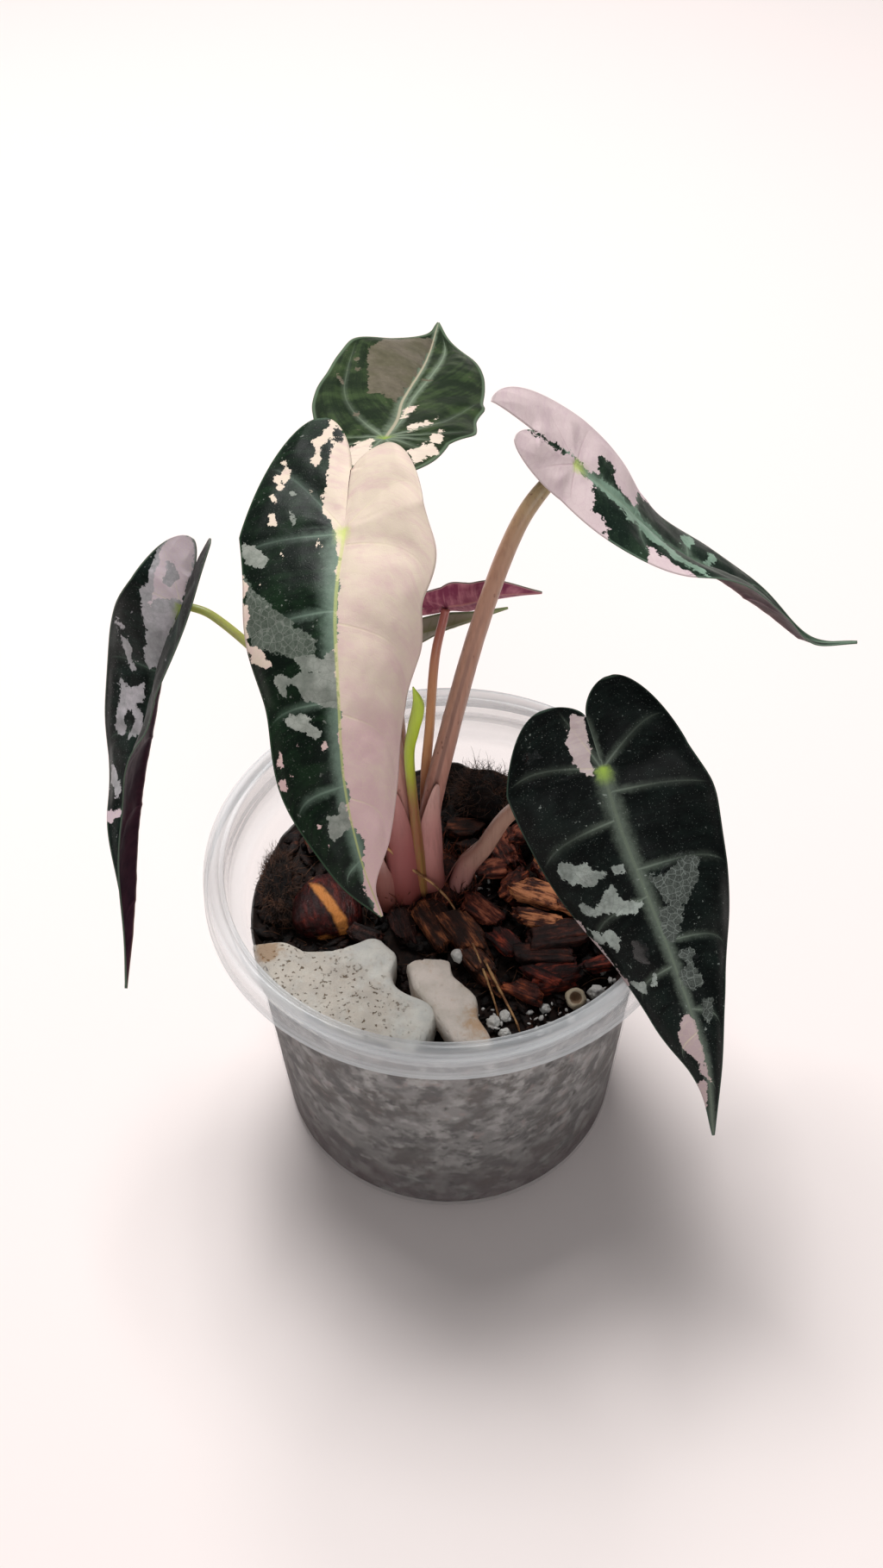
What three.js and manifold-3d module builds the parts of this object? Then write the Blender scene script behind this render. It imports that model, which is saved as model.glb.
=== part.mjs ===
// A small bambino alocasia in a clear nursery cup.
// Millimetres, +Z up, the origin at the centre of the cup's underside, the viewer at -Y.
import * as THREE from "three";
import { mergeVertices } from "three/addons/utils/BufferGeometryUtils.js";
import Module from "manifold-3d";

const wasm = await Module();
wasm.setup();

// Driving dimensions of the cup
const CUP_HEIGHT = 86.4;
const SKIRT_RADIUS = 55;
const SKIRT_DEPTH = 8;
const BEAD_RADIUS = 53;
const STEP_DEPTH = 12;
const SHOULDER_RADIUS = 46.5;
const BASE_RADIUS = 41.9;
const BASE_ROUNDING = 3;
const WALL = 0.9;
const FLOOR = 1.2;
const CUP_SIDES = 48;

// Driving dimensions of the growing mix and of what stands in it
const MIX_LEVEL = 66;
const LUMP_HEIGHT = 1.1;
const CROWN = { x: -5.5, y: 4.6, radius: 10.5, foot: 48, top: 73 };
const STALK_FOOT = CROWN.top - 1.5;

// Clearance kept between neighbours, and the thickness of a leaf blade
const GAP = 0.32;
const BLADE = 0.9;

// Turns a mesh into a solid with shared corners, for cutting
function solidOf(geometry) {
  const bare = geometry.clone();
  bare.deleteAttribute("normal");
  bare.deleteAttribute("uv");
  const merged = mergeVertices(bare, 1e-4);
  return new wasm.Manifold(new wasm.Mesh({
    numProp: 3,
    vertProperties: new Float32Array(merged.attributes.position.array),
    triVerts: new Uint32Array(merged.index.array),
  }));
}

// Turns a solid back into a mesh
function geometryOf(solid) {
  const mesh = solid.getMesh();
  const geometry = new THREE.BufferGeometry();
  geometry.setAttribute("position", new THREE.BufferAttribute(new Float32Array(mesh.vertProperties), 3));
  geometry.setIndex(new THREE.BufferAttribute(new Uint32Array(mesh.triVerts), 1));
  geometry.computeVertexNormals();
  return geometry;
}

// Cuts each tool out of a geometry
function cutBy(geometry, tools) {
  let solid = solidOf(geometry);
  for (const tool of tools) {
    solid = solid.subtract(solidOf(tool));
  }
  return geometryOf(solid);
}

// Makes a closed mesh from points and triangles
function meshOf(points, triangles) {
  const geometry = new THREE.BufferGeometry();
  const flat = new Float32Array(points.length * 3);
  points.forEach((point, i) => point.toArray(flat, i * 3));
  geometry.setAttribute("position", new THREE.BufferAttribute(flat, 3));
  geometry.setIndex(triangles.flat());
  geometry.computeVertexNormals();
  return geometry;
}

// Turns a profile of [radius, height] pairs, from axis to axis, about the Z axis
function turned(profile, sides) {
  const points = profile.map(([radius, height]) => new THREE.Vector2(radius, height));
  const geometry = new THREE.LatheGeometry(points, sides);
  geometry.rotateX(Math.PI / 2);
  return geometryOf(solidOf(geometry));
}

// Repeatable random numbers from 0 to 1
function seeded(seed) {
  let state = seed;
  return () => {
    state = (state * 16807) % 2147483647;
    return state / 2147483647;
  };
}

// A smooth curve through values at stations, its slopes taken from the neighbours
function through(stations, values, at) {
  const last = stations.length - 1;
  const steps = stations.slice(1).map((s, i) => (values[i + 1] - values[i]) / (s - stations[i]));
  const slopes = values.map((_, i) => {
    if (i === 0) return steps[0];
    return i === last ? steps[last - 1] : (steps[i - 1] + steps[i]) / 2;
  });
  const x = Math.min(Math.max(at, stations[0]), stations[last]);
  let i = 0;
  while (i < last - 1 && x >= stations[i + 1]) i += 1;
  const span = stations[i + 1] - stations[i];
  const w = (x - stations[i]) / span;
  return values[i] * (2 * w ** 3 - 3 * w ** 2 + 1) + slopes[i] * span * (w ** 3 - 2 * w ** 2 + w)
    + values[i + 1] * (-2 * w ** 3 + 3 * w ** 2) + slopes[i + 1] * span * (w ** 3 - w ** 2);
}

// The point and direction of a Catmull-Rom curve, with its ends carried straight on
function along(points, at) {
  const first = points[0].clone().multiplyScalar(2).sub(points[1]);
  const final = points.at(-1).clone().multiplyScalar(2).sub(points.at(-2));
  const all = [first, ...points, final];
  const x = Math.min(Math.max(at, 0), 1) * (points.length - 1);
  const i = Math.min(Math.floor(x), points.length - 2);
  const w = x - i;
  const [a, b, c, d] = all.slice(i, i + 4);
  const into = c.clone().sub(a).multiplyScalar(0.5);
  const out = d.clone().sub(b).multiplyScalar(0.5);
  const mix = (kb, kc, ki, ko) => new THREE.Vector3()
    .addScaledVector(b, kb).addScaledVector(c, kc).addScaledVector(into, ki).addScaledVector(out, ko);
  return {
    point: mix(2 * w ** 3 - 3 * w ** 2 + 1, -2 * w ** 3 + 3 * w ** 2,
      w ** 3 - 2 * w ** 2 + w, w ** 3 - w ** 2),
    direction: mix(6 * w ** 2 - 6 * w, 6 * w - 6 * w ** 2,
      3 * w ** 2 - 4 * w + 1, 3 * w ** 2 - 2 * w).normalize(),
  };
}

// The cup: floor, tapering wall, stacking step, beaded rim and hanging skirt

function wallRadiusAt(height) {
  const rise = (height - BASE_ROUNDING) / (CUP_HEIGHT - STEP_DEPTH - BASE_ROUNDING);
  return BASE_RADIUS + (SHOULDER_RADIUS - BASE_RADIUS) * Math.max(rise, 0);
}

function cup() {
  const step = CUP_HEIGHT - STEP_DEPTH;
  const neck = BEAD_RADIUS - 2.4;
  return turned([
    [0, 0],
    [BASE_RADIUS - BASE_ROUNDING, 0],
    [BASE_RADIUS - 0.9, 0.9],
    [BASE_RADIUS, BASE_ROUNDING],
    [SHOULDER_RADIUS, step - 0.9],
    [neck, step + 1.2],
    [neck + 0.5, CUP_HEIGHT - 3.2],
    [SKIRT_RADIUS - 1.1, CUP_HEIGHT - 3.2],
    [SKIRT_RADIUS - 0.9, CUP_HEIGHT - SKIRT_DEPTH],
    [SKIRT_RADIUS, CUP_HEIGHT - SKIRT_DEPTH],
    [SKIRT_RADIUS - 0.3, CUP_HEIGHT - 2.3],
    [BEAD_RADIUS + 0.4, CUP_HEIGHT - 1.7],
    [BEAD_RADIUS, CUP_HEIGHT - 0.5],
    [BEAD_RADIUS - 0.9, CUP_HEIGHT],
    [BEAD_RADIUS - 1.8, CUP_HEIGHT - 0.4],
    [BEAD_RADIUS - 2.5, CUP_HEIGHT - 2.4],
    [neck - WALL, step + 1.6],
    [SHOULDER_RADIUS - WALL, step - 0.5],
    [BASE_RADIUS - WALL, BASE_ROUNDING + 0.3],
    [BASE_RADIUS - BASE_ROUNDING, FLOOR],
    [0, FLOOR],
  ], CUP_SIDES);
}

// The room inside the cup, used to keep the pieces on the mix clear of the wall
function insideOfCup() {
  const step = CUP_HEIGHT - STEP_DEPTH;
  const clear = WALL + GAP + 0.15;
  return turned([
    [0, FLOOR + GAP],
    [BASE_RADIUS - BASE_ROUNDING - GAP, FLOOR + GAP],
    [BASE_RADIUS - clear, BASE_ROUNDING + GAP],
    [SHOULDER_RADIUS - clear, step - 1],
    [SHOULDER_RADIUS - clear, CUP_HEIGHT + 10],
    [0, CUP_HEIGHT + 10],
  ], CUP_SIDES);
}

// The growing mix: a filled cone with a lumpy top that rises towards the plant

function mixLevel(x, y) {
  const lumps = Math.sin(0.31 * x + 1) * Math.cos(0.27 * y - 0.5) + 0.5 * Math.sin(0.63 * x - 0.41 * y);
  const fromCrown = (x - CROWN.x) ** 2 + (y - CROWN.y) ** 2;
  return MIX_LEVEL + LUMP_HEIGHT * lumps + 2.5 * Math.exp(-fromCrown / 260);
}

function mixBed() {
  const rings = 9;
  const sides = 36;
  const edge = wallRadiusAt(MIX_LEVEL) - WALL - GAP - 0.2;
  const points = [new THREE.Vector3(0, 0, mixLevel(0, 0))];
  const ring = (radius, heightAt) => {
    for (let k = 0; k < sides; k += 1) {
      const turn = (2 * Math.PI * k) / sides;
      const [x, y] = [radius * Math.cos(turn), radius * Math.sin(turn)];
      points.push(new THREE.Vector3(x, y, heightAt(x, y)));
    }
  };
  for (let r = 1; r <= rings; r += 1) {
    ring((edge * r) / rings, mixLevel);
  }
  const floor = FLOOR + GAP;
  ring(BASE_RADIUS - WALL - GAP - 0.3, () => BASE_ROUNDING + 1);
  ring(BASE_RADIUS - BASE_ROUNDING - 0.6, () => floor);
  points.push(new THREE.Vector3(0, 0, floor));
  const triangles = [];
  const corner = (r, k) => 1 + (r - 1) * sides + (k % sides);
  for (let k = 0; k < sides; k += 1) {
    triangles.push([0, corner(1, k), corner(1, k + 1)]);
    for (let r = 1; r < rings + 2; r += 1) {
      triangles.push([corner(r, k), corner(r + 1, k), corner(r + 1, k + 1)]);
      triangles.push([corner(r, k), corner(r + 1, k + 1), corner(r, k + 1)]);
    }
    triangles.push([points.length - 1, corner(rings + 2, k + 1), corner(rings + 2, k)]);
  }
  return meshOf(points, triangles);
}

// The fibrous stem base that every leaf stalk stands on
function crown(grow) {
  const geometry = turned([
    [0, CROWN.foot - grow],
    [CROWN.radius * 0.55 + grow, CROWN.foot - grow],
    [CROWN.radius + grow, 62],
    [CROWN.radius + 0.7 + grow, 68.5],
    [CROWN.radius + grow, CROWN.top + grow],
    [0, CROWN.top + grow],
  ], 20);
  geometry.translate(CROWN.x, CROWN.y, 0);
  return geometry;
}

// Leaves. A blade is ruled from its midrib. Each half has its own widths, fold and curl, in degrees,
// from the stalk to the tip, and a lobe behind the stalk. "right" is the half on the side of "across".

const WIDTH_AT = [0, 0.12, 0.28, 0.45, 0.62, 0.78, 0.9, 1];
const FOLD_AT = [0, 0.45, 1];
const SINUS_SHARE = 0.5;
const LOBE_SHARE = 0.25;
const TIP_WIDTH = 0.3;
const BLADE_ROWS = 14;
const SMALL_BLADE_ROWS = 8;
const BLADE_COLUMNS = 3;

const LEAVES = {
  front: {
    midrib: [[-17.6, -5, 181], [-19, -20.3, 176.5], [-18.6, -33, 167], [-18, -42.2, 155], [-15.6, -49, 142.5],
      [-12.2, -52.5, 129.7]],
    across: [[-0.97, 0.15, -0.19], [-0.95, -0.27, -0.16]],
    right: { widths: [20, 18.5, 18, 14.6, 12.2, 7.3, 3.9], fold: [5, -7, 5], curl: [-7, -24, 3],
      lobe: 26, lobeEnd: 0.35, phase: 1.1 },
    left: { widths: [17.6, 17.6, 15, 12.7, 10.7, 6.2, 1], fold: [20, -14, 5], curl: [6, -35, 3],
      lobe: 17, lobeEnd: 0.37, phase: 0.5 },
    sinus: 13.2, lobeShape: 1.2, wave: -0.3, waves: 3,
  },
  back: {
    midrib: [[-11, 30, 176], [-8.8, 41, 172.5], [-7.7, 55, 168], [-4, 71, 164.5], [-2, 86.5, 159.5],
      [0, 102.5, 157]],
    across: [[0.99, -0.1, 0.06], [0.98, -0.14, -0.16]],
    right: { widths: [12.9, 16, 16.5, 16.5, 13.6, 8.7, 3.3], fold: [1, 4, 8], curl: [-12, -10, 6],
      lobe: 20, lobeEnd: 0.56, phase: 0.4 },
    left: { widths: [15, 16.5, 17.5, 18.4, 16, 8.7, 1.9], fold: [-7, 8, 13], curl: [-21, -2, 11],
      lobe: 20.5, lobeEnd: 0.5, phase: 1.7 },
    sinus: 8, lobeShape: 1.2, wave: 0.4, waves: 3,
  },
  pink: {
    midrib: [[25.5, 18, 177.8], [35.7, 17.5, 168.2], [44.5, 17, 158.5], [56, 17, 150.5], [66, 17, 142],
      [76.5, 17, 133], [87, 17, 132]],
    across: [[-0.31, -0.91, -0.29], [0, -0.99, -0.11]],
    right: { widths: [8.6, 12, 15.4, 14.2, 9.6, 4.4, 1.8], fold: [2, 51, 24], curl: [-10, -6, -3],
      lobe: 14.5, lobeEnd: 0.48, phase: 0.4 },
    left: { widths: [12.4, 13, 13.8, 12.4, 8, 2.1, 0.4], fold: [-10, -22, 43], curl: [-4, -9, 0],
      lobe: 22, lobeEnd: -0.12, phase: 0.1 },
    sinus: 10.5, lobeShape: 1.7, wave: 0.2, waves: 3,
  },
  dark: {
    midrib: [[31.7, -11, 124], [35.6, -20.5, 115], [40.6, -30, 106], [45, -38.5, 98], [49, -46.5, 89.5],
      [52.5, -54, 80], [54.5, -61, 65.5]],
    across: [[-0.94, -0.1, -0.31], [-0.99, -0.03, -0.12]],
    right: { widths: [20.6, 20.4, 19.5, 16, 11.3, 6.7, 1.9], fold: [-3, -18, -10], curl: [-5, -31, -11],
      lobe: 15, lobeEnd: 0.38, phase: 1.05 },
    left: { widths: [18, 21, 20.2, 17, 10.5, 5.2, 2.2], fold: [-4, -16, -14], curl: [-3, -29, -16],
      lobe: 17.7, lobeEnd: 0.38, phase: 1.36 },
    sinus: 11, lobeShape: 1.2, wave: 1.1, waves: 3,
  },
  folded: {
    midrib: [[-54, 19.5, 142.5], [-59.5, 16.5, 130], [-62.5, 11.5, 119], [-65, 4.5, 110], [-67, -5, 100],
      [-68.5, -16.5, 86], [-69.5, -30, 77.5]],
    across: [[-0.9, 0.31, 0.31], [-0.82, 0.33, -0.47]],
    right: { widths: [12.7, 15.2, 16, 14.7, 10.3, 4.2, 1.1], fold: [-15, -24, 26], curl: [2, -8, 1],
      lobe: 15, lobeEnd: 0.24, phase: 0.86 },
    left: { widths: [13.5, 15.8, 16.8, 15, 10.2, 4.9, 2.2], fold: [75, 78, 86], curl: [-6, -6, -3],
      lobe: 21, lobeEnd: 0.68, phase: -0.65 },
    sinus: 7.3, lobeShape: 1.2, wave: 1.1, waves: 3,
  },
  small_high: {
    midrib: [[0.5, 20, 141.5], [6, 20, 142.5], [12, 20.5, 144], [20.5, 21, 143.5]],
    across: [[0, -0.5, 0.86], [0, -0.5, 0.86]],
    right: { widths: [5.5, 6.3, 6.4, 5.6, 4.2, 2.6, 1.3], fold: [8, 8, 10], curl: [8, 8, 4],
      lobe: 9, lobeEnd: 0.4, phase: 0.3 },
    left: { widths: [5.5, 6.3, 6.4, 5.6, 4.2, 2.6, 1.3], fold: [8, 8, 10], curl: [8, 8, 4],
      lobe: 9, lobeEnd: 0.4, phase: 1.2 },
    sinus: 4, lobeShape: 1.6, wave: 0.4, waves: 2,
  },
  small_low: {
    midrib: [[-14, 30, 121.5], [-5, 30.5, 124], [4, 30, 127.5], [14, 29.5, 132]],
    across: [[0.1, -0.93, 0.3], [0.2, -0.9, 0.3]],
    right: { widths: [7, 8.5, 8.2, 6.5, 4, 2, 1], fold: [6, 10, 30], curl: [6, 8, 4],
      lobe: 8, lobeEnd: 0.4, phase: 0.3 },
    left: { widths: [5.2, 6, 6, 5, 3.6, 2, 1], fold: [6, 10, 30], curl: [6, 8, 4],
      lobe: 8, lobeEnd: 0.4, phase: 1.2 },
    sinus: 4, lobeShape: 1.6, wave: 0.4, waves: 2,
  },
};

// One point of a blade: u runs from 1 at the tip through 0 at the stalk to -1 at the lobe's end,
// q from 0 at the midrib or sinus to 1 at the margin, side is 1 for the right half and -1 for the left
function bladePoint(leaf, side, u, q) {
  const half = side > 0 ? leaf.right : leaf.left;
  const s = Math.max(u, 0);
  const t = Math.max(-u, 0);
  const midrib = along(leaf.midrib.map((p) => new THREE.Vector3(...p)), s);
  const [atStalk, atTip] = leaf.across.map((p) => new THREE.Vector3(...p).normalize());
  const across = atStalk.lerp(atTip, s * s * (3 - 2 * s)).normalize();
  across.addScaledVector(midrib.direction, -across.dot(midrib.direction)).normalize();
  const normal = across.clone().cross(midrib.direction);
  const widths = [...half.widths, TIP_WIDTH];
  const width = Math.max(through(WIDTH_AT, widths, s), TIP_WIDTH);
  const fold = THREE.MathUtils.degToRad(through(FOLD_AT, half.fold, s));
  const curl = THREE.MathUtils.degToRad(through(FOLD_AT, half.curl, s)) || 1e-4;
  const past = Math.max((t - SINUS_SHARE) / (1 - SINUS_SHARE), 0);
  const outer = width * (half.lobeEnd + (1 - half.lobeEnd) * Math.sqrt(1 - t ** leaf.lobeShape));
  const inner = width * half.lobeEnd * (1 - Math.sqrt(1 - past ** 1.6));
  const innerBack = leaf.sinus * Math.min(t / SINUS_SHARE, 1) + (half.lobe - leaf.sinus) * past;
  const back = innerBack * (1 - q) + half.lobe * t * q;
  const reach = (u < 0 ? inner + q * (outer - inner) : q * width) / width;
  const bend = fold + curl * reach;
  const ripple = leaf.wave * reach ** 2 * Math.min(width / 10, 1)
    * Math.sin(2 * Math.PI * leaf.waves * (s - LOBE_SHARE * t) + half.phase);
  return midrib.point
    .addScaledVector(across, (side * width * (Math.sin(bend) - Math.sin(fold))) / curl)
    .addScaledVector(normal, (width * (Math.cos(fold) - Math.cos(bend))) / curl + ripple)
    .addScaledVector(midrib.direction, -back);
}

// A blade as a closed sheet, its two faces split into triangles alike
function blade(leaf, thickness, rows, columns) {
  const lobeRows = Math.max(3, Math.round(rows * 0.3));
  const stations = [];
  for (let i = 0; i <= rows; i += 1) {
    stations.push(1 - i / rows);
  }
  for (let i = 1; i <= lobeRows; i += 1) {
    stations.push(-SINUS_SHARE * (i / lobeRows));
  }
  for (let i = 1; i <= lobeRows; i += 1) {
    stations.push(-SINUS_SHARE - (0.97 - SINUS_SHARE) * Math.sin((Math.PI * i) / (2 * lobeRows)));
  }
  const middle = [];
  const shared = new Map();
  const corner = (side, i, j) => {
    const onMidrib = j === 0 && stations[i] >= -SINUS_SHARE;
    const key = onMidrib ? `m${i}` : `${side}_${i}_${j}`;
    if (!shared.has(key)) {
      shared.set(key, middle.length);
      middle.push(bladePoint(leaf, side, stations[i], j / columns));
    }
    return shared.get(key);
  };
  const triangles = [];
  for (const side of [1, -1]) {
    for (let i = 0; i < stations.length - 1; i += 1) {
      for (let j = 0; j < columns; j += 1) {
        const [a, b] = [corner(side, i, j), corner(side, i + 1, j)];
        const [c, d] = [corner(side, i + 1, j + 1), corner(side, i, j + 1)];
        triangles.push(side > 0 ? [a, b, c] : [a, c, b], side > 0 ? [a, c, d] : [a, d, c]);
      }
    }
  }
  return thickened(middle, triangles, thickness);
}

// Gives a sheet of triangles its thickness, half to each side
function thickened(middle, triangles, thickness) {
  const sheet = meshOf(middle, triangles);
  const normals = sheet.attributes.normal;
  const offset = (sign) => middle.map((point, i) => point.clone()
    .addScaledVector(new THREE.Vector3().fromBufferAttribute(normals, i), (sign * thickness) / 2));
  const count = middle.length;
  const edges = new Set();
  for (const [a, b, c] of triangles) {
    for (const [i, j] of [[a, b], [b, c], [c, a]]) {
      edges.add(`${i}_${j}`);
    }
  }
  const rim = [];
  for (const edge of edges) {
    const [i, j] = edge.split("_").map(Number);
    if (!edges.has(`${j}_${i}`)) {
      rim.push([j, i, i + count], [j, i + count, j + count]);
    }
  }
  const under = triangles.map(([a, b, c]) => [a + count, c + count, b + count]);
  return meshOf([...offset(1), ...offset(-1)], [...triangles, ...under, ...rim]);
}

// Stalks, fibres and the rolled leaf: round rods along a smooth curve

function rod(path, radii, sides, steps) {
  const points = path.map((p) => new THREE.Vector3(...p));
  const radiusAt = radii.map((_, i) => i / (radii.length - 1));
  const corners = [];
  let across = new THREE.Vector3(1, 0, 0);
  for (let i = 0; i <= steps; i += 1) {
    const { point, direction } = along(points, i / steps);
    across = across.clone().addScaledVector(direction, -across.dot(direction)).normalize();
    const beside = direction.clone().cross(across);
    const radius = through(radiusAt, radii, i / steps);
    for (let k = 0; k < sides; k += 1) {
      const turn = (2 * Math.PI * k) / sides;
      corners.push(point.clone().addScaledVector(across, radius * Math.cos(turn))
        .addScaledVector(beside, radius * Math.sin(turn)));
    }
  }
  const triangles = [];
  const corner = (i, k) => i * sides + (k % sides);
  for (let k = 0; k < sides; k += 1) {
    for (let i = 0; i < steps; i += 1) {
      triangles.push([corner(i, k), corner(i, k + 1), corner(i + 1, k + 1)]);
      triangles.push([corner(i, k), corner(i + 1, k + 1), corner(i + 1, k)]);
    }
    if (k > 0 && k < sides - 1) {
      triangles.push([corner(0, 0), corner(0, k + 1), corner(0, k)]);
      triangles.push([corner(steps, 0), corner(steps, k), corner(steps, k + 1)]);
    }
  }
  return meshOf(corners, triangles);
}

// Each stalk rises off the stem base, runs to its blade and ends just under the midrib
const STALKS = {
  front: { foot: [-8.8, 1], path: [[-9.6, 1.5, 98], [-11.5, 3, 125], [-14.5, 4.5, 152], [-17, 1.5, 170]],
    radii: [2.2, 2.1, 1.8, 1.5, 1.3] },
  back: { foot: [-9.5, 7.5], path: [[-10, 10, 105], [-11.5, 15, 140], [-11.7, 22, 163]],
    radii: [2.2, 1.9, 1.6, 1.4] },
  pink: { foot: [-3.4, 4.2], path: [[-3.8, 4.2, 92], [0, 6, 113.5], [6.8, 8.2, 144.5], [13.8, 11, 167],
    [20, 14.5, 176]], radii: [2.5, 2.4, 2.2, 1.9, 1.7, 1.6, 1.4] },
  dark: { foot: [1.9, 1.6], path: [[4.6, 1.4, 79.5], [8.3, 0, 87], [14, -2, 101], [25, -7.5, 117]],
    radii: [2.6, 2.6, 2.2, 1.8, 1.6, 1.5] },
  folded: { foot: [-13.2, 3.2], path: [[-14.5, 4.5, 92], [-24, 9, 113], [-36, 14, 130], [-47, 18, 140.5]],
    radii: [2, 1.9, 1.3, 1, 0.9, 0.8] },
  small_high: { foot: [-4.8, 10], path: [[-4.4, 9.4, 100], [-3.3, 10.6, 115], [-1.9, 14, 132]],
    radii: [1.5, 1.2, 1.05, 1, 0.9] },
  small_low: { foot: [-9, 12.6], path: [[-10, 15, 95], [-13, 22, 112]], radii: [1.4, 1.2, 1, 0.8] },
};
const BELOW_MIDRIB = 0.9;

function stalk(name) {
  const { foot, path, radii } = STALKS[name];
  const leaf = LEAVES[name];
  const junction = bladePoint(leaf, 1, 0, 0);
  const across = new THREE.Vector3(...leaf.across[0]);
  const { direction } = along(leaf.midrib.map((p) => new THREE.Vector3(...p)), 0);
  const down = direction.clone().cross(across).normalize();
  const end = junction.addScaledVector(down, BELOW_MIDRIB);
  const whole = rod([[...foot, STALK_FOOT], ...path, end.toArray()], radii, 8, 12);
  const clearBlade = blade(leaf, BLADE + 2 * GAP, BLADE_ROWS, BLADE_COLUMNS);
  return cutBy(whole, [crown(GAP), clearBlade]);
}

// The young leaf, still rolled, stands in front of the pink leaf's stalk
function rolledLeaf() {
  const whole = rod([[-5.4, -0.9, STALK_FOOT], [-6.2, -0.8, 87], [-6.9, -0.5, 101], [-7.5, -0.4, 117.5],
    [-6.4, -0.2, 125.5], [-5.3, 0, 132], [-6.3, 0.2, 137]], [1.6, 1.5, 1.2, 1.2, 1.4, 1.5, 0.3], 8, 18);
  return cutBy(whole, [crown(GAP)]);
}

// Stones: flat-topped blocks from an outline, laid on the mix

function block({ outline, bottom, top, edge, tip }, grow = 0) {
  const shape = new THREE.Shape(outline.map(([x, y]) => new THREE.Vector2(x, y)));
  const geometry = new THREE.ExtrudeGeometry(shape, {
    depth: top - bottom - 2 * edge,
    bevelThickness: edge + grow,
    bevelSize: edge + grow,
    bevelOffset: -edge,
    bevelSegments: 2,
  });
  geometry.translate(0, 0, bottom + edge);
  const middle = new THREE.Box3().setFromPoints(outline.map(([x, y]) => new THREE.Vector3(x, y, bottom)))
    .getCenter(new THREE.Vector3());
  geometry.translate(-middle.x, -middle.y, -middle.z);
  geometry.rotateX(THREE.MathUtils.degToRad(tip));
  geometry.translate(middle.x, middle.y, middle.z);
  return geometryOf(solidOf(geometry));
}

const STONES = {
  pumice_large: {
    outline: [[-44, -14], [-38, -13.5], [-34, -16], [-24, -16], [-17, -13], [-13.5, -15.5], [-11.6, -19],
      [-12, -26.5], [-4.5, -31.5], [-3, -35], [-6, -41.5], [-9.5, -43], [-23, -39], [-36, -29.5], [-41.5, -23]],
    bottom: 64, top: 73.5, edge: 1.8, tip: 0,
  },
  pumice_long: {
    outline: [[-9.2, -20.5], [-6.5, -19.2], [-2, -18.8], [0.2, -20], [1, -24], [4, -28], [6, -31],
      [6.6, -35.5], [9, -41], [6.5, -43], [1.7, -42.5], [-1, -38.5], [-4, -33], [-7.8, -27.5]],
    bottom: 65.5, top: 73.5, edge: 1.6, tip: 0,
  },
};

// Bark, husk and coir: rough blocks with rounded edges, partly sunk in the mix

function chunk({ at, size, turn = 0, pitch = 0, seed, rough = 0.1, detail = 1 }, grow = 0) {
  const geometry = mergeVertices(bareSphere(detail), 1e-5);
  const random = seeded(seed * 7919 + 13);
  const dents = Array.from({ length: 9 }, () => ({
    towards: new THREE.Vector3(random() - 0.5, random() - 0.5, random() - 0.5).normalize(),
    depth: rough * (0.4 + random()),
  }));
  const squareness = 0.62;
  const position = geometry.attributes.position;
  const point = new THREE.Vector3();
  for (let i = 0; i < position.count; i += 1) {
    point.fromBufferAttribute(position, i).normalize();
    const dent = dents.reduce((sum, { towards, depth }) => (
      sum + depth * Math.max(point.dot(towards) - 0.55, 0) / 0.45), 0);
    const boxy = point.toArray().map((v) => Math.sign(v) * Math.abs(v) ** squareness);
    point.set(...boxy).multiplyScalar(0.9 * (1 - dent));
    position.setXYZ(i, ...size.map((half, axis) => point.getComponent(axis) * (half + grow)));
  }
  geometry.rotateY(THREE.MathUtils.degToRad(pitch));
  geometry.rotateZ(THREE.MathUtils.degToRad(turn));
  geometry.translate(...at);
  return geometry;
}

function bareSphere(detail) {
  const sphere = new THREE.IcosahedronGeometry(1, detail);
  sphere.deleteAttribute("normal");
  sphere.deleteAttribute("uv");
  return sphere;
}

const CHUNKS = {
  husk_round: { at: [-29.5, -1.5, 68.5], size: [8, 8.5, 6.5], turn: 10, seed: 3, detail: 2 },
  coir_left: { at: [-39.5, 6, 68], size: [4.6, 10, 5], turn: 12, seed: 5 },
  coir_back: { at: [10.5, 31, 71], size: [11, 8.5, 9], turn: -8, seed: 8, detail: 2 },
  bark_mid_back: { at: [13, 15.5, 69], size: [5, 7.5, 6], turn: 24, seed: 9 },
  bark_mid_front: { at: [16, 3.5, 67.5], size: [4.6, 4.2, 4.5], turn: 40, seed: 11 },
  bark_long_back: { at: [32, -0.5, 68.5], size: [10.5, 4.6, 5], turn: -6, seed: 12 },
  bark_long_middle: { at: [25, -11.5, 68], size: [13, 4.2, 4.6], turn: 10, seed: 15 },
  bark_long_front: { at: [23.5, -21.5, 67], size: [10, 4.2, 4], turn: 14, seed: 17 },
  bark_strip: { at: [5, -15.5, 68], size: [2.9, 15.5, 3.6], turn: 29, seed: 19 },
  bark_back_left: { at: [-24, 21, 67.5], size: [10, 7.5, 5], turn: -30, seed: 21 },
  bark_back_right: { at: [31, 18, 68], size: [8.5, 7, 5], turn: 35, seed: 23 },
  bark_back: { at: [-7, 33.5, 67.5], size: [7.5, 6, 4.5], turn: 12, seed: 25 },
};

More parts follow.
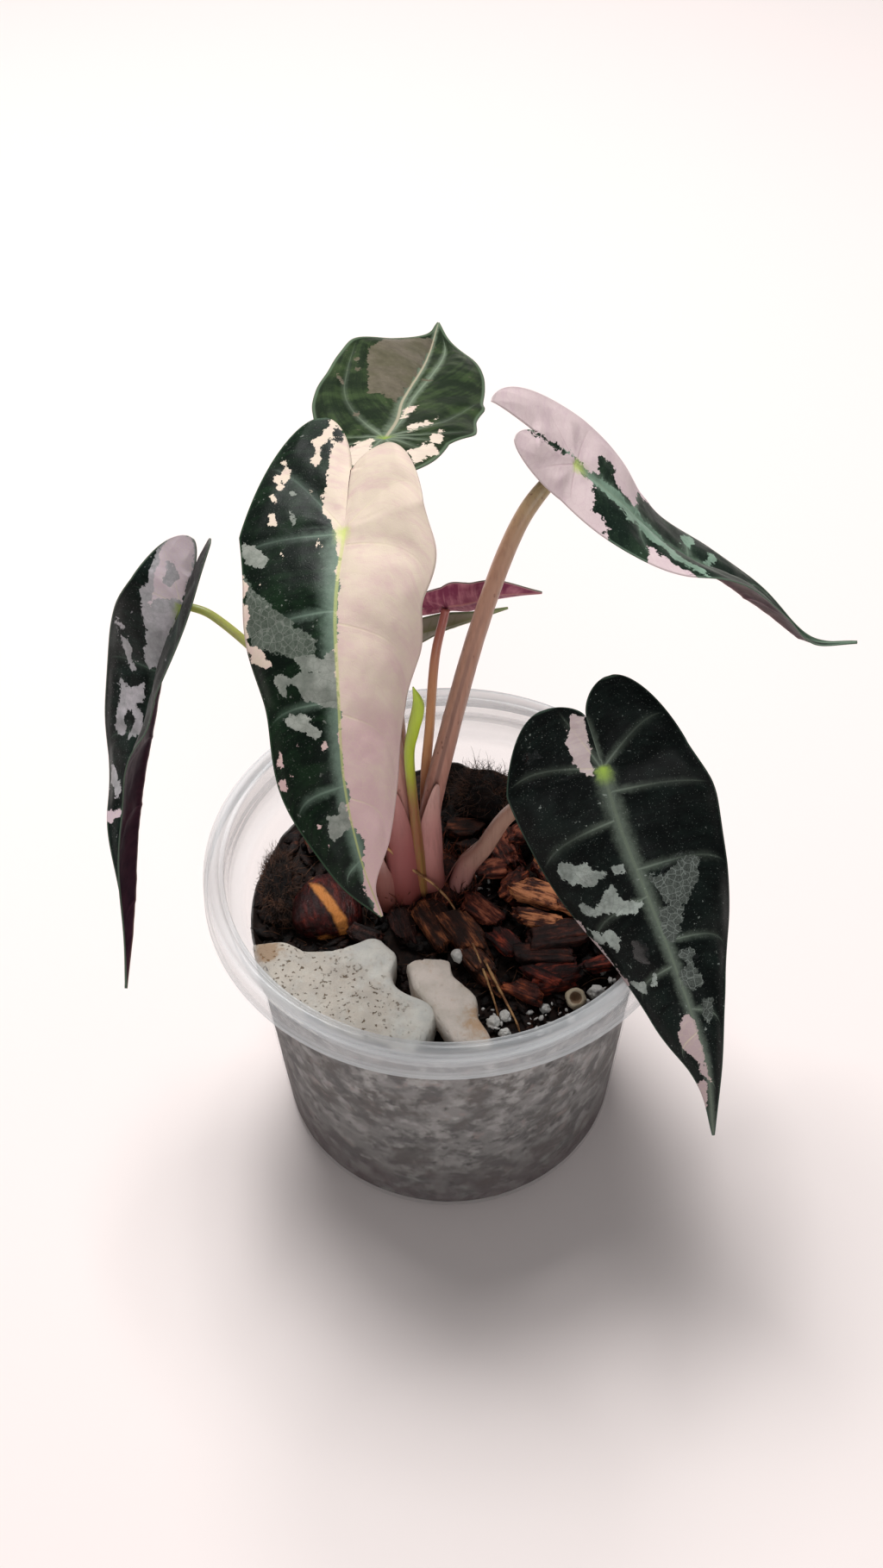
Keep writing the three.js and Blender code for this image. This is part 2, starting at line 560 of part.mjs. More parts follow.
// Each grain sits a little sunk at its place on the mix, or on what lies there when it has a lift
const GRAINS = {
  perlite_1: { x: 2.2, y: -18.2, lift: 3.6, size: [1.5, 1.6, 1.5], seed: 31 },
  perlite_2: { x: 9.6, y: -33.8, size: [1.5, 1.4, 1.4], seed: 33 },
  perlite_3: { x: 12.2, y: -32.2, size: [1.2, 1.3, 1.2], seed: 35 },
  perlite_4: { x: 12, y: -36, size: [1.3, 1.1, 1.2], seed: 37 },
  perlite_5: { x: 33, y: -24.8, size: [2, 1.6, 1.8], seed: 39 },
  perlite_6: { x: 21.2, y: -29, size: [1.2, 1.1, 1.1], seed: 41 },
  perlite_7: { x: 34.5, y: -18.5, size: [1.2, 1.1, 1.1], seed: 43 },
  perlite_8: { x: 27, y: -32.5, size: [1, 1.1, 1], seed: 45 },
};
const GRAIN_SHOWS = 0.45;

function grain({ x, y, lift = 0, size, seed }, grow = 0) {
  const at = [x, y, mixLevel(x, y) + GRAIN_SHOWS * size[2] + lift];
  return chunk({ at, size, seed, rough: 0.16 }, grow);
}

// A hollow grain like a snail shell: a thick ring with a sunk middle
function hollowGrain(grow = 0) {
  const geometry = turned([
    [0, -1.4 - grow], [1.6 + grow, -1.2 - grow], [2.5 + grow, 0], [2.1 + grow, 1.2 + grow],
    [1.5 - grow / 2, 1.3 + grow], [1 - grow / 2, 0.2 + grow], [0, 0.1 + grow],
  ], 14);
  geometry.rotateX(THREE.MathUtils.degToRad(28));
  const [x, y] = [28, -27];
  geometry.translate(x, y, mixLevel(x, y) + 1.2);
  return geometry;
}

// Dry roots that lie over the mix
const FIBRES = {
  fibre_long: [[-13.6, -1.6, 90], [-7.5, -2.6, 83], [-2.9, -3, 78], [1, -6, 74.6], [4.8, -13.8, 72.6],
    [7.3, -20.8, 71.8], [10.4, -30, 68], [11, -32.5, 64]],
  fibre_short: [[8, -20.5, 73], [10.6, -25.5, 70.6], [12.6, -29.2, 69], [15, -34.5, 67.4], [15.4, -36, 63.5]],
};
const FIBRE_RADIUS = 0.38;

function fibre(path, grow = 0) {
  return rod(path, [FIBRE_RADIUS + grow, FIBRE_RADIUS + grow], 6, 3 * path.length);
}

// Assembly, with a colour for each kind of piece

const plant = new THREE.Group();
plant.name = "potted_bambino_alocasia";

function add(name, geometry, colour, roughness) {
  const material = new THREE.MeshStandardMaterial({ color: colour, roughness, metalness: 0 });
  const mesh = new THREE.Mesh(geometry, material);
  mesh.name = name;
  plant.add(mesh);
}

const inside = solidOf(insideOfCup());

// Keeps a piece inside the cup and clear of the enlarged pieces laid before it
function seated(geometry, before) {
  const solid = before.reduce((rest, tool) => rest.subtract(solidOf(tool)), solidOf(geometry));
  return geometryOf(solid.intersect(inside));
}

add("pot", cup(), 0xd9dcda, 0.35);

const laid = [crown(GAP)];
add("stem_base", crown(0), 0x5a3526, 0.85);

for (const [name, path] of Object.entries(FIBRES)) {
  add(name, fibre(path), 0xb98f5e, 0.7);
  laid.push(fibre(path, GAP));
}
for (const [name, stone] of Object.entries(STONES)) {
  add(name, seated(block(stone), laid), 0xdcdccf, 0.95);
  laid.push(block(stone, GAP + 0.1));
}
add("perlite_hollow", seated(hollowGrain(), laid), 0xd8c9a6, 0.9);
laid.push(hollowGrain(GAP));
for (const [name, place] of Object.entries(GRAINS)) {
  add(name, seated(grain(place), laid), 0xe4e4e0, 0.95);
  laid.push(grain(place, GAP + 0.12));
}
for (const [name, piece] of Object.entries(CHUNKS)) {
  add(name, seated(chunk(piece), laid), name.startsWith("coir") ? 0x2a1c14 : 0x5b2a1a, 0.9);
  laid.push(chunk(piece, GAP + 0.15));
}
add("growing_mix", cutBy(mixBed(), laid), 0x2b1d15, 0.95);

const BLADE_COLOURS = {
  front: 0xd8b9b4, back: 0x4c6144, pink: 0xdcc3c1, dark: 0x18201d, folded: 0x2b332d,
  small_high: 0x6b3f4c, small_low: 0xc9bfa4,
};
for (const [name, leaf] of Object.entries(LEAVES)) {
  const rows = name.startsWith("small") ? SMALL_BLADE_ROWS : BLADE_ROWS;
  add(`leaf_${name}`, blade(leaf, BLADE, rows, BLADE_COLUMNS), BLADE_COLOURS[name], 0.5);
  add(`stalk_${name}`, stalk(name), 0x9c6f62, 0.55);
}
add("leaf_rolled", rolledLeaf(), 0x9aa62c, 0.5);

export default plant;
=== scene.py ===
"""The looks of a small bambino alocasia in a frosted nursery cup.

Lengths are in millimetres until a mesh is made, which is in metres. Z is up and the viewer stands at -Y.
"""

import itertools
import math

import bmesh
import bpy
import numpy as np
from mathutils import Matrix, Vector


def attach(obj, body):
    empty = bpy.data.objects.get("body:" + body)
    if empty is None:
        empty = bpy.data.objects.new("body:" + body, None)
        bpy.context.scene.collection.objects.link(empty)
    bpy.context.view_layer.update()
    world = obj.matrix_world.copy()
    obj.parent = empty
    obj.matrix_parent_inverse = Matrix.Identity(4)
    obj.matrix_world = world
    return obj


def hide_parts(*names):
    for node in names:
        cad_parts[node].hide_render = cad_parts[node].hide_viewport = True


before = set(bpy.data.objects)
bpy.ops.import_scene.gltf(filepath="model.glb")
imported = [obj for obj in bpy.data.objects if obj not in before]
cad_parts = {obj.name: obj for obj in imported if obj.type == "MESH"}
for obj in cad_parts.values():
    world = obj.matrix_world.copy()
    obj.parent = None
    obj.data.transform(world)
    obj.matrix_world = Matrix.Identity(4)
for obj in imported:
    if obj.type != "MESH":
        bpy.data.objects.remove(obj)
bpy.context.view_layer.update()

MM = 0.001

# The photograph's view: lens in pixels, the place of the camera, how far it looks down and leans
PHOTO_WIDTH, PHOTO_HEIGHT = 1024, 1819
LENS_PIXELS = 1900.0
CAMERA_AT = np.array([-0.9, -238.2, 365.6])
LOOKS_DOWN = math.radians(47.2)
LEANS = math.radians(-0.88)
SENSOR = 36.0

# Driving dimensions of the cup and of the growing mix
CUP_HEIGHT = 86.4
STEP_DEPTH = 12.0
SHOULDER_RADIUS = 46.5
BASE_RADIUS = 41.9
WALL = 0.9
MIX_LEVEL = 66.0
LUMP_HEIGHT = 1.1
CLINGING = 6.5
CROWN = (-5.5, 4.6)
CROWN_TOP = 73.0
STALK_FOOT = CROWN_TOP - 1.5


# Curves and noise

def unit(vectors):
    """Vectors divided by their lengths"""
    return vectors / np.linalg.norm(vectors, axis=-1, keepdims=True)


def through(stations, values, at):
    """A cubic through the values at the stations, its slopes taken from the neighbours"""
    x, y = np.asarray(stations, float), np.asarray(values, float)
    steps = np.diff(y) / np.diff(x)
    slopes = np.concatenate([steps[:1], (steps[1:] + steps[:-1]) / 2, steps[-1:]])
    at = np.clip(at, x[0], x[-1])
    i = np.clip(np.searchsorted(x, at, side="right") - 1, 0, len(x) - 2)
    span = x[i + 1] - x[i]
    w = (at - x[i]) / span
    return (y[i] * (2 * w**3 - 3 * w**2 + 1) + slopes[i] * span * (w**3 - 2 * w**2 + w)
            + y[i + 1] * (3 * w**2 - 2 * w**3) + slopes[i + 1] * span * (w**3 - w**2))


def along(points, at):
    """The points and unit directions of a smooth curve through points, its ends carried straight on"""
    p = np.asarray(points, float)
    p = np.vstack([2 * p[0] - p[1], p, 2 * p[-1] - p[-2]])
    spans = len(p) - 3
    x = np.clip(at, 0, 1) * spans
    i = np.minimum(x.astype(int), spans - 1)
    w = (x - i)[:, None]
    a, b, c, d = p[i], p[i + 1], p[i + 2], p[i + 3]
    into, out = (c - a) / 2, (d - b) / 2
    point = (b * (2 * w**3 - 3 * w**2 + 1) + c * (3 * w**2 - 2 * w**3)
             + into * (w**3 - 2 * w**2 + w) + out * (w**3 - w**2))
    slope = (b * (6 * w**2 - 6 * w) + c * (6 * w - 6 * w**2)
             + into * (3 * w**2 - 4 * w + 1) + out * (3 * w**2 - 2 * w))
    return point, unit(slope)


LATTICE_MIDDLE = 4096.5
SCRAMBLERS = (73856093, 19349663, 83492791)
SEED_SCRAMBLER = 2654435
LAST_SCRAMBLER = 1274126177


def noise(points, size, seed=0):
    """Smooth noise from -1 to 1: random numbers on a lattice with cells of that size, mixed by smoothsteps"""
    p = np.asarray(points, float) / size + LATTICE_MIDDLE
    cell = np.floor(p).astype(np.int64)
    w = p - cell
    w = w * w * (3 - 2 * w)
    total = np.zeros(p.shape[:-1])
    for corner in itertools.product((0, 1), repeat=3):
        at = cell + np.array(corner)
        by_axis = at * SCRAMBLERS
        code = by_axis[..., 0] ^ by_axis[..., 1] ^ by_axis[..., 2] ^ (seed * SEED_SCRAMBLER)
        code = ((code ^ (code >> 13)) * LAST_SCRAMBLER) & 0x7FFFFFFF
        value = ((code ^ (code >> 15)) & 0xFFFF) / 32767.5 - 1
        total += value * np.prod(np.where(corner, w, 1 - w), axis=-1)
    return total


def fractal(points, size, octaves=4, seed=0):
    """Noise added up over octaves, each half as large and half as strong as the last"""
    return sum(noise(points, size / 2**k, seed + 17 * k) / 2**k for k in range(octaves))


def smooth(value, low, high):
    """A smoothstep from 0 at low to 1 at high"""
    w = np.clip((value - low) / (high - low), 0, 1)
    return w * w * (3 - 2 * w)


def turned(points, degrees, axis):
    """Points turned about X, Y or Z"""
    matrix = Matrix.Rotation(math.radians(degrees), 3, axis)
    return points @ np.array(matrix).T


# The camera, also used to lay marks where the photograph shows them

def camera_axes():
    """Right, up and forward of the view"""
    forward = np.array([0, math.cos(LOOKS_DOWN), -math.sin(LOOKS_DOWN)])
    level, upright = np.array([1.0, 0, 0]), np.array([0, math.sin(LOOKS_DOWN), math.cos(LOOKS_DOWN)])
    right = math.cos(LEANS) * level + math.sin(LEANS) * upright
    up = -math.sin(LEANS) * level + math.cos(LEANS) * upright
    return right, up, forward


def seen_at(points):
    """Pixel positions of points in the photograph, and their depths"""
    right, up, forward = camera_axes()
    away = points - CAMERA_AT
    depth = away @ forward
    x = PHOTO_WIDTH / 2 + LENS_PIXELS * (away @ right) / depth
    y = PHOTO_HEIGHT / 2 - LENS_PIXELS * (away @ up) / depth
    return np.stack([x, y], -1), depth


def make_camera():
    right, up, forward = camera_axes()
    data = bpy.data.cameras.new("camera")
    data.sensor_width = SENSOR
    data.lens = LENS_PIXELS / PHOTO_HEIGHT * SENSOR
    data.clip_start, data.clip_end = 0.01, 10
    camera = bpy.data.objects.new("camera", data)
    turn = Matrix((right, up, -forward)).transposed().to_4x4()
    camera.matrix_world = Matrix.Translation(Vector(CAMERA_AT * MM)) @ turn
    bpy.context.scene.collection.objects.link(camera)
    bpy.context.scene.camera = camera


# Meshes

def grid(rows, columns, ring=False, first=0):
    """The quads of a grid of points in rows, with the last column joined to the first for a ring"""
    across = columns if ring else columns - 1
    r, c = np.meshgrid(np.arange(rows - 1), np.arange(across), indexing="ij")
    right = (c + 1) % columns
    near, far = r * columns, (r + 1) * columns
    quads = np.stack([near + c, near + right, far + right, far + c], -1)
    return quads.reshape(-1, 4) + first


def capped(rows, columns, first=0):
    """The two fans that close a tube of rings at its ends, as triangles round each ring's first point"""
    k = np.arange(1, columns - 1)
    zero = np.zeros_like(k)
    last = (rows - 1) * columns
    return np.vstack([np.stack([zero, k + 1, k], -1), np.stack([zero, k, k + 1], -1) + last]) + first


def gather(parts):
    """Joins parts, each (points, faces, attributes), into one"""
    points, faces, marks, first = [], [], {}, 0
    for some, quads, values in parts:
        points.append(some)
        faces.extend((np.asarray(f) + first).tolist() for f in quads)
        for key, value in values.items():
            marks.setdefault(key, []).append(np.broadcast_to(value, (len(some),) + np.shape(value)[1:]))
        first += len(some)
    return np.vstack(points), faces, {key: np.concatenate(value) for key, value in marks.items()}


def piece(name, points, faces, values, materials, nodes=(), face_material=None, join=0.002):
    """Makes a mesh from millimetres, joins its doubles, gives it its attributes and materials, puts it under
    the root body and hides the CAD nodes it stands in for
    """
    mesh = bpy.data.meshes.new(name)
    mesh.from_pydata((np.asarray(points) * MM).tolist(), [], [list(map(int, f)) for f in faces])
    for key, value in values.items():
        value = np.asarray(value, np.float32)
        kind = "FLOAT" if value.ndim == 1 else "FLOAT_VECTOR"
        layer = mesh.attributes.new(key, kind, "POINT")
        layer.data.foreach_set("value" if value.ndim == 1 else "vector", value.ravel())
    for material in materials:
        mesh.materials.append(material)
    if face_material is not None:
        mesh.polygons.foreach_set("material_index", np.asarray(face_material, np.int32))
    shape = bmesh.new()
    shape.from_mesh(mesh)
    bmesh.ops.remove_doubles(shape, verts=shape.verts, dist=join * MM)
    bmesh.ops.recalc_face_normals(shape, faces=shape.faces)
    shape.to_mesh(mesh)
    shape.free()
    mesh.polygons.foreach_set("use_smooth", np.ones(len(mesh.polygons), bool))
    thing = bpy.data.objects.new(name, mesh)
    bpy.context.scene.collection.objects.link(thing)
    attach(thing, "root")
    if nodes:
        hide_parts(*nodes)
    return thing


def round_axis(centre, across, beside, turn, reach):
    """Points round an axis: the two directions square to it, mixed by the turn's cosine and sine"""
    way = across[:, None] * np.cos(turn)[..., None] + beside[:, None] * np.sin(turn)[..., None]
    return centre[:, None] + way * reach[..., None]


def closed_rings(points, at, lap):
    """Rows of rings as a tube closed by caps; "along" is at, one to a row, "round" is lap, one to a column"""
    rows, columns = points.shape[:2]
    faces = grid(rows, columns, ring=True).tolist() + capped(rows, columns).tolist()
    return points.reshape(-1, 3), faces, {"along": np.repeat(at, columns), "round": np.tile(lap, rows)}


def tube(path, radii, sides, steps, swell):
    """A rod along a smooth curve: rings of a radius that runs through radii, times a factor that swell
    works out from the points and from how far round the rod they are.

    Each ring's first direction is the last ring's, made square to the curve.
    """
    at = np.linspace(0, 1, steps + 1)
    centre, ahead = along(path, at)
    radius = through(np.linspace(0, 1, len(radii)), radii, at)
    across = np.zeros_like(centre)
    side = np.array([1.0, 0, 0])
    for k in range(steps + 1):
        side = side - ahead[k] * (side @ ahead[k])
        side = side / np.linalg.norm(side)
        across[k] = side
    beside = np.cross(ahead, across)
    lap = np.arange(sides) / sides
    points = round_axis(centre, across, beside, 2 * np.pi * lap, radius[:, None])
    points = centre[:, None] + (points - centre[:, None]) * swell(points, lap)[..., None]
    return closed_rings(points, at, lap)


# Shader building

def colour(red, green, blue):
    """A colour given as it looks on a screen, 0 to 255, turned to linear light, with its alpha"""
    def linear(value):
        value /= 255
        return value / 12.92 if value <= 0.04045 else ((value + 0.055) / 1.055) ** 2.4
    return (linear(red), linear(green), linear(blue), 1)


def put(tree, socket, value):
    """Links a socket into another, or sets its number or its colour, given as it looks on a screen"""
    if isinstance(value, bpy.types.NodeSocket):
        tree.links.new(value, socket)
    elif socket.type == "RGBA":
        socket.default_value = colour(*value)
    else:
        socket.default_value = value


def node(tree, kind, inputs=None, out=0, **settings):
    """Adds a node with its settings and inputs, and gives one of its outputs"""
    made = tree.nodes.new(kind)
    for key, value in settings.items():
        setattr(made, key, value)
    for key, value in (inputs or {}).items():
        put(tree, made.inputs[key], value)
    return made.outputs[out]


def maths(tree, operation, *values):
    """One sum or other operation on numbers or sockets"""
    return node(tree, "ShaderNodeMath", dict(enumerate(values)), operation=operation)


def plus(tree, first, second):
    return maths(tree, "ADD", first, second)


def minus(tree, first, second):
    return maths(tree, "SUBTRACT", first, second)


def times(tree, first, *others):
    """The product of all the values"""
    for value in others:
        first = maths(tree, "MULTIPLY", first, value)
    return first


def centred(tree, value, reach):
    """A value from 0 to 1 laid round 0, with that reach from end to end"""
    return times(tree, minus(tree, value, 0.5), reach)


def fade(tree, value, low, high, start=0.0, end=1.0):
    """A smooth step from start to end as the value goes from low to high"""
    return node(tree, "ShaderNodeMapRange", {0: value, 1: low, 2: high, 3: start, 4: end},
                interpolation_type="SMOOTHSTEP")


def blend(tree, factor, first, second, mode="MIX"):
    return node(tree, "ShaderNodeMix", {0: factor, 6: first, 7: second}, out=2, data_type="RGBA",
                blend_type=mode)


def attribute(tree, name, out="Fac"):
    made = tree.nodes.new("ShaderNodeAttribute")
    made.attribute_name = name
    return made.outputs[out]


def clouds(tree, place, size, detail=3.0, roughness=0.55, distortion=0.0):
    """Noise from 0 to 1 with grains of a size in mm"""
    return node(tree, "ShaderNodeTexNoise", {"Vector": place, "Scale": 1 / (size * MM), "Detail": detail,
                                             "Roughness": roughness, "Distortion": distortion})


def in_mm(tree, vector):
    """A place kept in mm by an attribute, in metres"""
    return node(tree, "ShaderNodeVectorMath", {0: vector, 3: MM}, operation="SCALE")


def squeezed(tree, vector, shares):
    """A place with each axis scaled, for grain that runs one way"""
    return node(tree, "ShaderNodeMapping", {"Vector": vector, "Scale": shares})


def own_place(tree):
    return node(tree, "ShaderNodeTexCoord", out="Object")


def finish_of(name):
    """A new material, its node tree and its Principled surface"""
    material = bpy.data.materials.new(name)
    material.use_nodes = True
    tree = material.node_tree
    shader = tree.nodes["Principled BSDF"]
    return material, tree, shader


def dress(tree, shader, **sockets):
    """Sets or links the surface's sockets, named with underlines for spaces"""
    for key, value in sockets.items():
        put(tree, shader.inputs[key.replace("_", " ")], value)


def raised(tree, height, strength, distance_mm):
    """A normal bent by a height map"""
    return node(tree, "ShaderNodeBump",
                {"Height": height, "Strength": strength, "Distance": distance_mm * MM})


def new_group(name, inputs, outputs):
    """A node group with named sockets: inputs as {name: default}, outputs as {name: kind}"""
    group = bpy.data.node_groups.new(name, "ShaderNodeTree")
    for key, value in inputs.items():
        kind = "NodeSocketColor" if isinstance(value, tuple) else "NodeSocketFloat"
        socket = group.interface.new_socket(key, in_out="INPUT", socket_type=kind)
        socket.default_value = colour(*value) if isinstance(value, tuple) else value
    for key, kind in outputs.items():
        group.interface.new_socket(key, in_out="OUTPUT", socket_type=kind)
    start = group.nodes.new("NodeGroupInput").outputs
    end = group.nodes.new("NodeGroupOutput").inputs
    return group, start, end


def use_group(tree, group, inputs):
    made = tree.nodes.new("ShaderNodeGroup")
    made.node_tree = group
    for key, value in inputs.items():
        put(tree, made.inputs[key], value)
    return made.outputs


# Shared effects

def make_mottle():
    """Blotches: two clouds of one size, laid over each other, as a mask with soft or hard edges"""
    group, start, end = new_group("mottle", {"Size mm": 4.0, "Cover": 0.5, "Softness": 0.1, "Seed": 0.0},
                                  {"Mask": "NodeSocketFloat"})
    tree = group
    place = node(tree, "ShaderNodeVectorMath", {0: own_place(tree), 1: times(tree, start["Seed"], 0.37)},
                 operation="ADD")
    scale = maths(tree, "DIVIDE", 1 / MM, start["Size mm"])
    cloud = node(tree, "ShaderNodeTexNoise", {"Vector": place, "Scale": scale, "Detail": 4.0,
                                              "Roughness": 0.6})
    edge = minus(tree, 1.0, start["Cover"])
    low = minus(tree, edge, start["Softness"])
    high = plus(tree, edge, start["Softness"])
    put(tree, end["Mask"], fade(tree, cloud, low, high))
    return group


def make_leaf_face():
    """The colour, roughness and relief of a leaf's face, from the attributes that its mesh carries.

    Patches are distances in mm inside their outlines, made ragged by noise. Veins are distances to the midrib
    and to the nearest side vein.
    """
    colours = {
        "Green": (24, 34, 28), "Second green": (38, 54, 40), "Pale": (232, 216, 196),
        "Blush": (222, 190, 188), "Grey": (128, 136, 124), "Net": (80, 84, 76),
        "Vein": (120, 140, 128), "Rib": (150, 170, 120), "Heart": (190, 210, 90),
        "Margin": (90, 110, 92), "Pale line": (226, 218, 178),
    }
    numbers = {"Halo": 0.8, "Halo width": 3.2, "Vein halo": 0.6, "Ragged": 1.0, "Specks": 0.5,
               "Pale veins": 0.5, "Rib strength": 0.5, "Rim width": 0.45, "Gloss": 0.4}
    group, start, end = new_group("leaf face", {**colours, **numbers}, {
        "Colour": "NodeSocketColor", "Roughness": "NodeSocketFloat", "Height": "NodeSocketFloat",
        "Wet": "NodeSocketFloat"})
    tree = group
    place = own_place(tree)
    flow = in_mm(tree, attribute(tree, "flow", "Vector"))

    coarse = centred(tree, clouds(tree, place, 3.2, 5.0, 0.72), 4.4)
    fine = centred(tree, clouds(tree, place, 0.7, 2.0, 0.5), 0.6)
    ragged = times(tree, plus(tree, coarse, fine), start["Ragged"])

    def patch(name):
        return fade(tree, plus(tree, attribute(tree, name), ragged), -0.07, 0.07)

    pale, grey, net = patch("pale"), patch("grey"), patch("net")

    turns = maths(tree, "FRACT", plus(tree, attribute(tree, "row"), 0.5))
    to_vein = times(tree, maths(tree, "ABSOLUTE", minus(tree, turns, 0.5)), attribute(tree, "gap"))
    off, run, rim = attribute(tree, "off"), attribute(tree, "run"), attribute(tree, "rim")
    fuzz = clouds(tree, place, 1.3, 5.0, 0.75)
    taper = minus(tree, 1.0, times(tree, maths(tree, "MAXIMUM", run, 0.0), 0.7))
    from_rib = maths(tree, "DIVIDE", off, taper)
    wide = plus(tree, from_rib, centred(tree, fuzz, 3.0))
    rib_halo = fade(tree, wide, 0.0, start["Halo width"], 1.0, 0.0)
    by_rib = fade(tree, off, 1.0, 11.0, 1.0, 0.3)
    vein_halo = fade(tree, plus(tree, to_vein, centred(tree, fuzz, 1.8)), 0.0, 1.5, 1.0, 0.0)
    inner = fade(tree, rim, 1.0, 5.0)
    halo = maths(tree, "MAXIMUM", rib_halo, times(tree, vein_halo, inner, by_rib, start["Vein halo"]))
    halo = times(tree, halo, start["Halo"])
    vein = times(tree, fade(tree, to_vein, 0.05, 0.3, 1.0, 0.0), fade(tree, rim, 0.5, 3.0), by_rib)
    rib = fade(tree, from_rib, 0.2, 0.55, 1.0, 0.0)

    streaks = clouds(tree, squeezed(tree, flow, (1.0, 0.14, 1.0)), 1.2, 4.0, 0.6)
    broad = clouds(tree, place, 7.0, 4.0, 0.6)
    uneven = plus(tree, times(tree, broad, 0.65), times(tree, streaks, 0.35))
    green = blend(tree, fade(tree, uneven, 0.42, 0.64), start["Green"], start["Second green"])
    cells = node(tree, "ShaderNodeTexVoronoi",
                 {"Vector": place, "Scale": 1 / (1.35 * MM), "Randomness": 0.95},
                 feature="DISTANCE_TO_EDGE")
    small = node(tree, "ShaderNodeTexVoronoi", {"Vector": place, "Scale": 1 / (0.55 * MM)},
                 feature="DISTANCE_TO_EDGE")
    mesh_lines = maths(tree, "MAXIMUM", fade(tree, cells, 0.0, 0.075, 1.0, 0.0),
                       fade(tree, small, 0.0, 0.1, 0.35, 0.0))

    patchy = fade(tree, clouds(tree, place, 7.0, 2.0, 0.5), 0.50, 0.62)
    specks = times(tree, fade(tree, clouds(tree, place, 0.9, 1.0, 0.4), 0.70, 0.73), patchy)
    dust = fade(tree, clouds(tree, place, 0.28, 1.0, 0.4), 0.68, 0.74, 0.0, 0.4)
    specks = times(tree, maths(tree, "MAXIMUM", specks, dust), start["Specks"])

    shade = plus(tree, 0.45, times(tree, clouds(tree, place, 2.4, 5.0, 0.7), 1.1))
    shades = node(tree, "ShaderNodeCombineColor", {0: shade, 1: shade, 2: shade})
    two_greys = blend(tree, fade(tree, broad, 0.4, 0.6, 0.0, 0.55), start["Grey"], start["Net"])
    grey_tone = blend(tree, 1.0, two_greys, shades, "MULTIPLY")
    grey_tone = blend(tree, times(tree, mesh_lines, 0.25), grey_tone, start["Net"])
    net_tone = blend(tree, fade(tree, fuzz, 0.35, 0.65, 0.0, 0.45), start["Net"], green)
    net_tone = blend(tree, times(tree, mesh_lines, 0.4), net_tone, start["Grey"])
    toned = blend(tree, halo, green, start["Vein"])
    toned = blend(tree, times(tree, vein, 0.5), toned, start["Vein"])
    toned = blend(tree, net, toned, net_tone)
    toned = blend(tree, grey, toned, grey_tone)
    toned = blend(tree, specks, toned, start["Grey"])

    blush = plus(tree, run, centred(tree, clouds(tree, place, 9.0, 4.0, 0.6), 1.3))
    soft = blend(tree, fade(tree, blush, 0.05, 0.75), start["Pale"], start["Blush"])
    lines = maths(tree, "MAXIMUM", times(tree, vein, 0.9), times(tree, mesh_lines, 0.35))
    lines = maths(tree, "MAXIMUM", lines, fade(tree, streaks, 0.55, 0.75, 0.0, 0.4))
    soft = blend(tree, times(tree, lines, start["Pale veins"]), soft, start["Pale line"])
    warm = fade(tree, clouds(tree, squeezed(tree, flow, (1.0, 0.4, 1.0)), 2.2, 4.0, 0.65), 0.42, 0.72)
    soft = blend(tree, times(tree, warm, 0.55), soft, start["Blush"])
    toned = blend(tree, pale, toned, soft)

    near = fade(tree, maths(tree, "ABSOLUTE", run), 0.0, 0.05, 1.0, 0.0)
    rib_tone = blend(tree, near, start["Rib"], start["Heart"])
    toned = blend(tree, times(tree, rib, start["Rib strength"]), toned, rib_tone)
    toned = blend(tree, times(tree, near, fade(tree, wide, 0.2, 2.4, 0.85, 0.0)), toned, start["Heart"])
    thin = fade(tree, rim, times(tree, start["Rim width"], 0.4), start["Rim width"], 1.0, 0.0)
    thin = times(tree, thin, minus(tree, 1.0, times(tree, pale, 0.85)))
    toned = blend(tree, times(tree, thin, 0.7), toned, start["Margin"])
    put(tree, end["Colour"], toned)

    drops = centred(tree, clouds(tree, place, 1.5, 3.0, 0.6), 3.0)
    wet = fade(tree, plus(tree, attribute(tree, "wet"), drops), -0.1, 0.1)
    rough = plus(tree, start["Gloss"], centred(tree, clouds(tree, place, 2.0, 3.0, 0.6), 0.16))
    rough = plus(tree, rough, times(tree, pale, 0.08))
    rough = minus(tree, rough, times(tree, wet, 0.37))
    put(tree, end["Roughness"], maths(tree, "MAXIMUM", 0.05, rough))
    height = plus(tree, times(tree, clouds(tree, place, 0.4, 2.0, 0.6), 0.2), times(tree, mesh_lines, -0.1))
    height = plus(tree, height, times(tree, streaks, 0.35))
    height = plus(tree, height, times(tree, vein, -0.5))
    height = plus(tree, height, times(tree, wet, clouds(tree, place, 1.6, 3.0, 0.6), 22.0))
    put(tree, end["Height"], height)
    put(tree, end["Wet"], wet)
    return group


def make_grain():
    """Woody grain along the first axis of the "grain" attribute: streaks, cracks and a relief"""
    group, start, end = new_group("grain", {"Dark": (30, 15, 12), "Middle": (88, 42, 28),
                                            "Bright": (168, 92, 50), "Width mm": 1.0, "Brightness": 0.5},
                                  {"Colour": "NodeSocketColor", "Height": "NodeSocketFloat"})
    tree = group
    place = squeezed(tree, in_mm(tree, attribute(tree, "grain", "Vector")), (0.16, 1.0, 1.0))
    scale = maths(tree, "DIVIDE", 1 / MM, start["Width mm"])
    streak = node(tree, "ShaderNodeTexNoise", {"Vector": place, "Scale": scale, "Detail": 5.0,
                                               "Roughness": 0.65, "Distortion": 0.3})
    lumps = clouds(tree, own_place(tree), 4.5, 4.0, 0.6)
    mixed = plus(tree, times(tree, streak, 0.6), times(tree, lumps, 0.4))
    tone = blend(tree, fade(tree, mixed, 0.42, 0.6), start["Dark"], start["Middle"])
    lift = plus(tree, mixed, times(tree, minus(tree, start["Brightness"], 0.5), 0.25))
    tone = blend(tree, fade(tree, lift, 0.52, 0.66), tone, start["Bright"])
    put(tree, end["Colour"], tone)
    put(tree, end["Height"], plus(tree, streak, times(tree, clouds(tree, own_place(tree), 0.6), 0.4)))
    return group


MOTTLE = make_mottle()
LEAF_FACE = make_leaf_face()
GRAIN = make_grain()


# Materials

